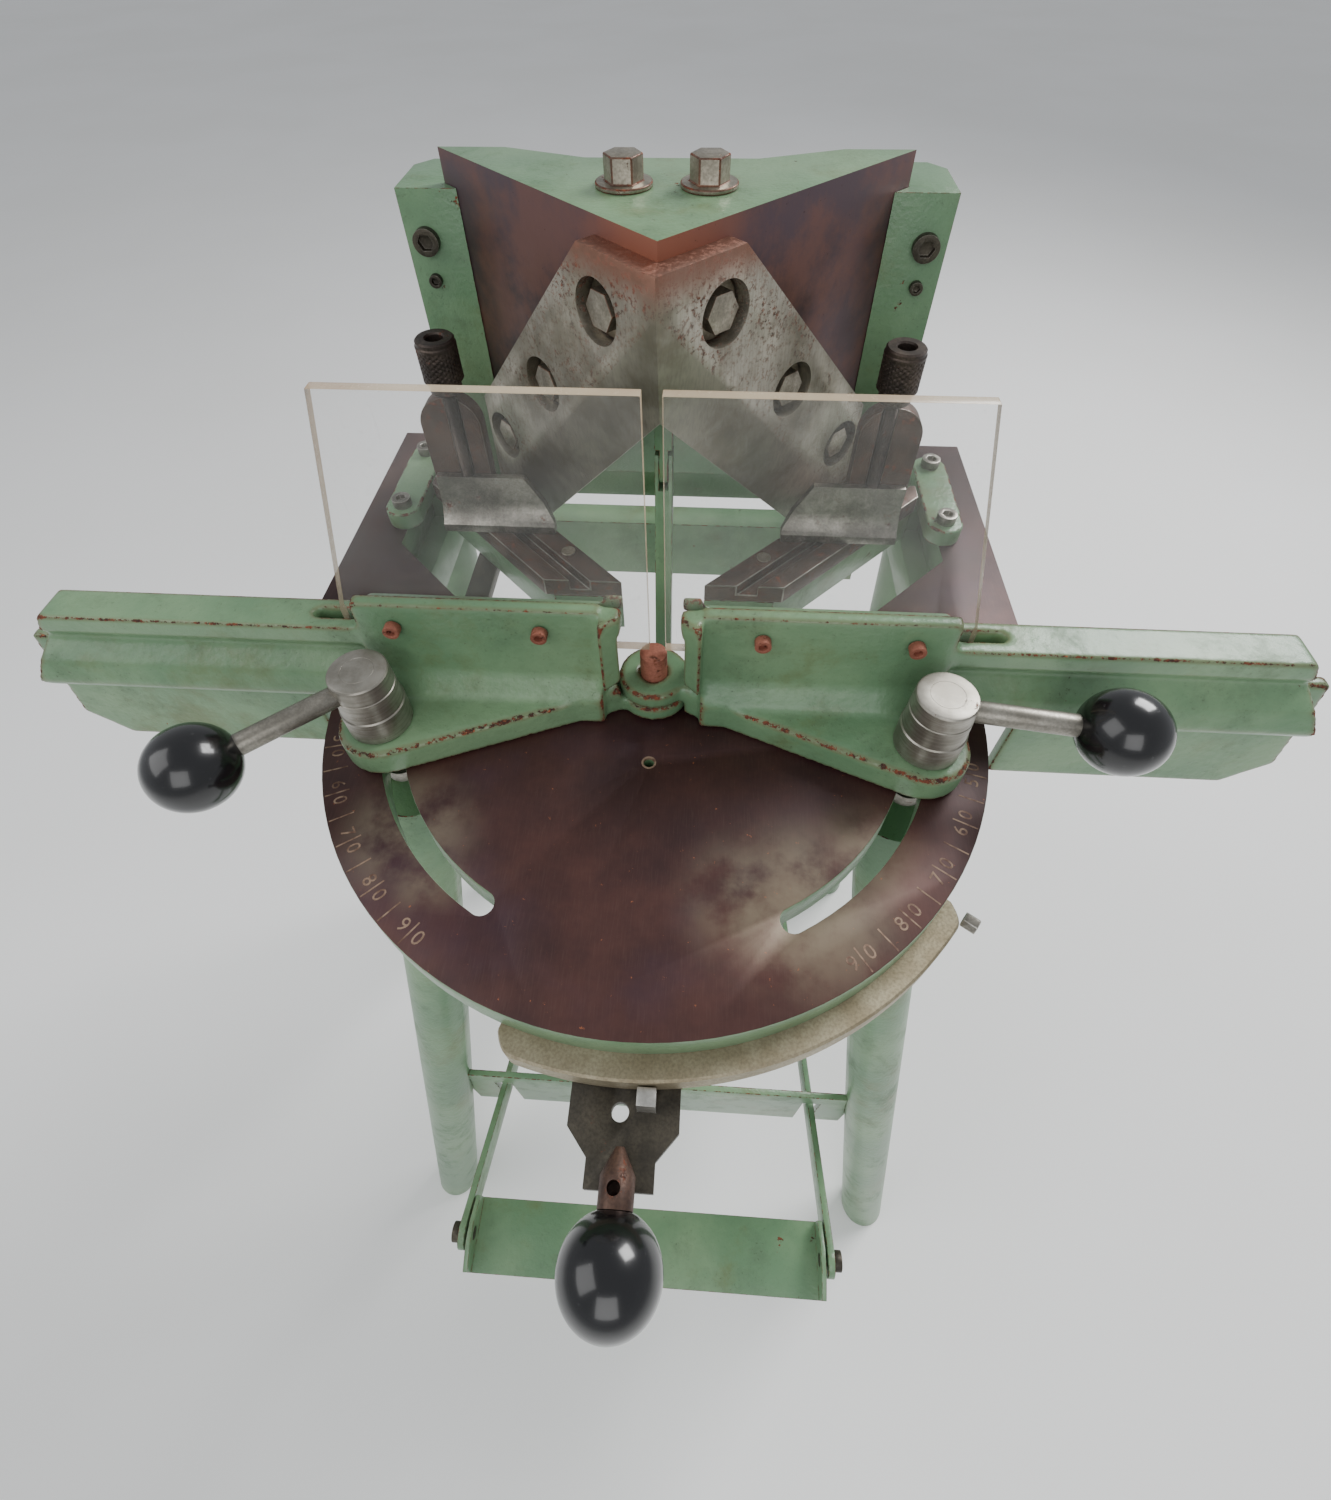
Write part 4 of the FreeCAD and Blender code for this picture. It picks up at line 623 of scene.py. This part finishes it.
def scale_number(side, mark):
    """A generic two-figure number beside its angle mark."""
    circle, size = 0.1912, 0.0108
    out = scale_direction(side, mark)
    across = Vector((-out.y, out.x))
    spin = math.atan2(across.y, across.x)
    tag = "right" if side > 0 else "left"
    for digit, figure in enumerate(str(mark)):
        curve = bpy.data.curves.new("digit", "FONT")
        curve.body, curve.size = figure, size
        curve.extrude, curve.resolution_u = 0.0003, 3
        curve.align_x, curve.align_y = "CENTER", "CENTER"
        holder = bpy.data.objects.new("digit", curve)
        scene.collection.objects.link(holder)
        mesh = evaluated(holder)
        bpy.data.objects.remove(holder)
        place = out * circle + across * ((digit - 0.5) * size)
        sunk = Matrix.Translation((place.x, place.y, TABLE - 0.0002))
        mesh.transform(sunk @ Matrix.Rotation(spin, 4, "Z"))
        new_piece(f"scale_{tag}_{mark}_{digit}", shade(mesh), "frame", ["mark"])


scale_marks()
for side in (1, -1):
    for mark in range(50, 95, 10):
        scale_number(side, mark)


def gauge_hole_rim():
    """Dark rim round the small hole ahead of the fences; profile is (height, radius) in millimetres."""
    hole = next(mount for mount in frame["record"]["mounts"] if mount["name"] == "gauge_hole")
    x, y = hole["pos_m"][:2]
    profile = [(-2.0, 3.2), (0.06, 3.2), (0.06, 4.3), (-0.4, 4.4), (-2.0, 4.4)]
    turns = 40
    form = bmesh.new()
    rings = []
    for height, radius in profile:
        ring = []
        for step in range(turns):
            angle = 2 * math.pi * step / turns
            ring.append(form.verts.new((x + math.cos(angle) * radius * MM, y + math.sin(angle) * radius * MM,
                                        TABLE + height * MM)))
        rings.append(ring)
    for low, high in zip(rings, rings[1:] + rings[:1]):
        for step in range(turns):
            after = (step + 1) % turns
            form.faces.new((low[step], low[after], high[after], high[step]))
    bmesh.ops.recalc_face_normals(form, faces=form.faces)
    mesh = bpy.data.meshes.new("gauge_rim")
    form.to_mesh(mesh)
    form.free()
    new_piece("gauge_rim", shade(mesh), "frame", ["mark"])


gauge_hole_rim()


def segment():
    """Curved index rail with fine sawn notches in its top inner edge."""
    low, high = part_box("feed_segment")
    inner, outer, centre_line = 0.188, 0.212, 0.2
    start, end = math.radians(-108), math.radians(-35)
    steps, notch_every, plain_steps, notch_depth = 292, 4, 6, 0.0013
    round_length, round_gain = 0.0105, 75
    form = bmesh.new()
    rows = []
    for step in range(steps + 1):
        angle = start + (end - start) * step / steps
        notched = step % notch_every == 0 and plain_steps < step < steps - plain_steps
        notch = notch_depth if notched else 0.0
        from_end = min(step, steps - step) * (end - start) / steps * centre_line
        crop = max(0.0, round_length - from_end) ** 2 * round_gain
        ring = [(inner + crop, low.z),
                (outer - crop - 0.0008, low.z),
                (outer - crop, low.z + 0.001),
                (outer - crop, high.z - 0.0012),
                (outer - crop - 0.0012, high.z),
                (inner + crop + 0.0042 + notch, high.z),
                (inner + crop + 0.0008 + notch, high.z - 0.0004 - notch),
                (inner + crop, high.z - 0.0016 - notch)]
        rows.append([form.verts.new((math.cos(angle) * r, math.sin(angle) * r, z)) for r, z in ring])
    for row, following in zip(rows, rows[1:]):
        for corner in range(len(row)):
            after = (corner + 1) % len(row)
            form.faces.new((row[corner], row[after], following[after], following[corner]))
    form.faces.new(list(reversed(rows[0])))
    form.faces.new(rows[-1])
    bmesh.ops.recalc_face_normals(form, faces=form.faces)
    mesh = bpy.data.meshes.new("index_segment")
    form.to_mesh(mesh)
    form.free()
    new_piece("index_segment", shade(mesh, 35), "frame", ["segment"], ("feed_segment",))


segment()
for side in ("right", "left"):
    softened(f"leg_front_{side}", ["green_tube", "green_edge"], 1.6, 3)
    softened(f"leg_rear_{side}", ["green_tube", "green_edge"], 1.6, 3)
    softened(f"keeper_{side}", ["green", "green_edge"], 1.6, 3)
for node, wide in (("web_plate", 0.8), ("rear_crossbar", 0.9)):
    softened(node, ["green_tube", "green_edge"], wide, 2)
for node in ("keeper_screws", "segment_stop_screw", "treadle_shaft", "spring_hanger"):
    softened(node, ["bare", "bare_edge"], 0.4, 2)
softened("pivot_stud", ["rusty"], 0.6, 2)


def spring_coil():
    """Close-wound extension spring whose last turns narrow at each end."""
    low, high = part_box("return_spring")
    x, y = (low.x + high.x) / 2, (low.y + high.y) / 2
    turns, steps_a_turn, wire = 92, 12, 0.0014
    narrowing, least = 26, 0.22
    reach = (high.x - low.x) / 2 - wire - 0.0002
    points = []
    steps = turns * steps_a_turn
    for step in range(steps + 1):
        share = step / steps
        angle = 2 * math.pi * turns * share
        taper = min(1.0, min(share, 1 - share) * narrowing + least)
        z = low.z + wire + 0.001 + (high.z - low.z - 2 * wire - 0.002) * share
        points.append((x + math.cos(angle) * reach * taper, y + math.sin(angle) * reach * taper, z))
    curve = bpy.data.curves.new("spring_path", "CURVE")
    curve.dimensions, curve.bevel_depth, curve.bevel_resolution = "3D", wire, 1
    curve.use_fill_caps = True
    spline = curve.splines.new("POLY")
    spline.points.add(len(points) - 1)
    for point, place in zip(spline.points, points):
        point.co = (*place, 1)
    holder = bpy.data.objects.new("spring_path", curve)
    scene.collection.objects.link(holder)
    mesh = evaluated(holder)
    bpy.data.objects.remove(holder)
    mesh.materials.clear()
    shade(mesh, 60)
    piece = bpy.data.objects.new("return_spring_coil", mesh)
    scene.collection.objects.link(piece)
    mesh.materials.append(MATERIALS["spring"])
    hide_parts("return_spring")
    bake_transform(piece)


spring_coil()

# ---------------------------------------------------------------- carriage
softened("carriage_base", ["green", "green_edge"], 1.0, 2)
for side in ("right", "left"):
    softened(f"guide_post_{side}", ["green", "green_edge"], 1.4, 3)
    softened(f"ledger_bar_{side}", ["brown", "bare"], 0.7, 2)
    softened(f"support_bracket_{side}", ["brown", "bare"], 0.8, 2)
    softened(f"support_angle_{side}", ["bare", "bare_edge"], 0.6, 2)
softened("guide_bridge", ["green_tube", "green_edge"], 1.0, 2)
softened("guide_screws", ["dark", "bare"], 0.4, 2)
softened("ledger_screws", ["zinc"], 0.2, 1)
softened("feed_pin", ["dark", "bare"], 0.5, 2)


def knurled_sleeve(side):
    """Clamp screw: hollow knurled sleeve on a thin threaded rod."""
    node = f"support_screw_{side}"
    low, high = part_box(node)
    x, y = (low.x + high.x) / 2, (low.y + high.y) / 2
    top = (high.z - TABLE) / MM
    start, rod = 118.0, 4.0
    starts, twist, groove = 19, 0.62, 0.75
    pitch, thread_depth = 0.9, 0.55
    reach = (high.x - low.x) / 2 / MM

    def knurl(along, angle):
        height = along - start
        if not 9 < height < top - start - 5 or along > top - 4:
            return 0.0
        one = abs(((angle * starts / math.pi + height * twist) % 2) - 1)
        two = abs(((angle * starts / math.pi - height * twist) % 2) - 1)
        return -groove * (1 - max(one, two))

    profile = [(low.z / MM - TABLE / MM, rod - 0.8)]
    z = low.z / MM - TABLE / MM + 0.8
    while z < start - 0.4:
        profile += [(z, rod), (z + pitch / 2, rod - thread_depth)]
        z += pitch
    profile += [(start, rod), (start, reach - 3.2), (start + 1, reach - 2.4), (start + 6.5, reach - 2.4),
                (start + 7.5, reach - 0.8), (start + 8.4, reach)]
    z = start + 8.8
    while z < top - 4:
        profile.append((z, reach))
        z += 0.7
    profile += [(top - 3.8, reach), (top - 3, reach - 0.6), (top - 1, reach - 0.6), (top, reach - 1.6),
                (top, 6.2), (top - 1, 5.4), (top - 12, 5.4), (top - 13.5, 0.3)]
    lathe(f"knurled_{side}", profile, (x, y, TABLE), (0, 0, 1), nodes[node]["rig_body"], ["knurl"],
          (node,), turns=152, wobble=knurl)


for side in ("right", "left"):
    knurled_sleeve(side)

# ---------------------------------------------------------------- head
def block_faces(face):
    """The top and the rear are painted; the two ground faces and the underside are browned."""
    if face.normal.z > 0.6 or face.normal.y > 0.4:
        return 0
    return 1


softened("knife_block", ["green", "block"], 0.9, 2, block_faces)


def knife_faces(side):
    """Picks a knife's ground bevel: the large faces that lean down and away from its flat side."""
    outward = Vector((0.7071 * side, -0.7071, 0))

    def pick(face):
        leaning = 0.4 < face.normal.dot(outward) < 0.995 and face.normal.z < -0.05
        return 1 if leaning and face.area > 2e-5 else 0
    return pick


for side, sign in (("right", 1), ("left", -1)):
    softened(f"knife_{side}", ["knife", "bevel"], 0.35, 2, knife_faces(sign))
    softened(f"knife_bolts_{side}", ["zinc", "washer"], 0.7, 3)
softened("top_bolts", ["zinc", "washer"], 0.7, 3)
softened("block_pin", ["bare"], 0.6, 2)
softened("rod_shackle", ["green_tube", "green_edge"], 0.7, 2)
softened("pull_rod", ["green_tube", "green_edge"], 0.9, 2)

# ---------------------------------------------------------------- treadle and feed lever
softened("treadle_frame", ["green_tube", "green_edge"], 0.9, 2)
softened("tread_plate", ["green", "green_edge"], 0.9, 2)
softened("tread_bolts", ["dark"], 0.7, 2)


def plate_faces(face):
    """The index piece that stands on the lever's plate is pale, a painted highlight for sunlight glinting on
    it; the plate is dark.
    """
    plate_top = TABLE - 0.0398
    return 1 if face.center.z > plate_top else 0


# the second material, pale, is the painted highlight of sunlight on the index piece
softened("feed_lever_plate", ["dark", "pale"], 0.5, 2, plate_faces)
softened("feed_spindle", ["brown", "bare"], 0.6, 3)
ball_knob("feed_ball", "feed_knob", middle("feed_ball"), (0, -1, 0))

# ---------------------------------------------------------------- fences
def guard_faces(face):
    """A guard's broad faces are clear and its sawn edges are pale."""
    return 0 if abs(face.normal.y) > 0.9 else 1


def clamp_nut(side):
    """Turned clamp boss with a grooved skirt and a centre mark in its top."""
    node = f"clamp_boss_{side}"
    low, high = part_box(node)
    centre = middle(node)
    tall = (high.z - low.z) / MM
    profile = [(0, 12.5), (0, 17.2), (0.8, 18), (17.2, 18), (18, 17.3), (18.4, 17.3), (tall - 12, 16.8),
               (tall - 11.6, 16.3), (tall - 11, 16.3), (tall - 10.6, 16.7), (tall - 1.2, 16.2),
               (tall - 0.3, 15.6), (tall, 14.6), (tall, 9.2), (tall - 0.12, 9.1), (tall - 0.12, 8.9),
               (tall, 8.8), (tall, 0.05)]
    lathe(f"clamp_nut_{side}", profile, (centre.x, centre.y, low.z), (0, 0, 1), nodes[node]["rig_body"],
          ["boss"], (node,), turns=72)


for side, paint in (("right", "green_rough"), ("left", "green_cast")):
    cast(f"fence_{side}", [paint])
    softened(f"guard_{side}", ["guard", "guard_edge"], 0.5, 2, guard_faces, angle=30)
    softened(f"guard_screws_{side}", ["rusty"], 0.35, 2)
    softened(f"clamp_stud_{side}", ["bare"], 0.5, 2)
    clamp_nut(side)
    softened(f"clamp_rod_{side}", ["rod"], 0.4, 2)
    along_rod = middle(f"clamp_ball_{side}") - middle(f"clamp_boss_{side}")
    along_rod.z = 0
    ball_knob(f"clamp_ball_{side}", f"clamp_knob_{side}", middle(f"clamp_ball_{side}"), along_rod)

# ---------------------------------------------------------------- stage
def studio_floor():
    """Plain floor under the machine, which isn't part of it."""
    form = bmesh.new()
    bmesh.ops.create_grid(form, x_segments=8, y_segments=8, size=14)
    mesh = bpy.data.meshes.new("studio_floor")
    form.to_mesh(mesh)
    form.free()
    floor = bpy.data.objects.new("studio_floor", mesh)
    scene.collection.objects.link(floor)
    mesh.materials.append(floor_material())


studio_floor()
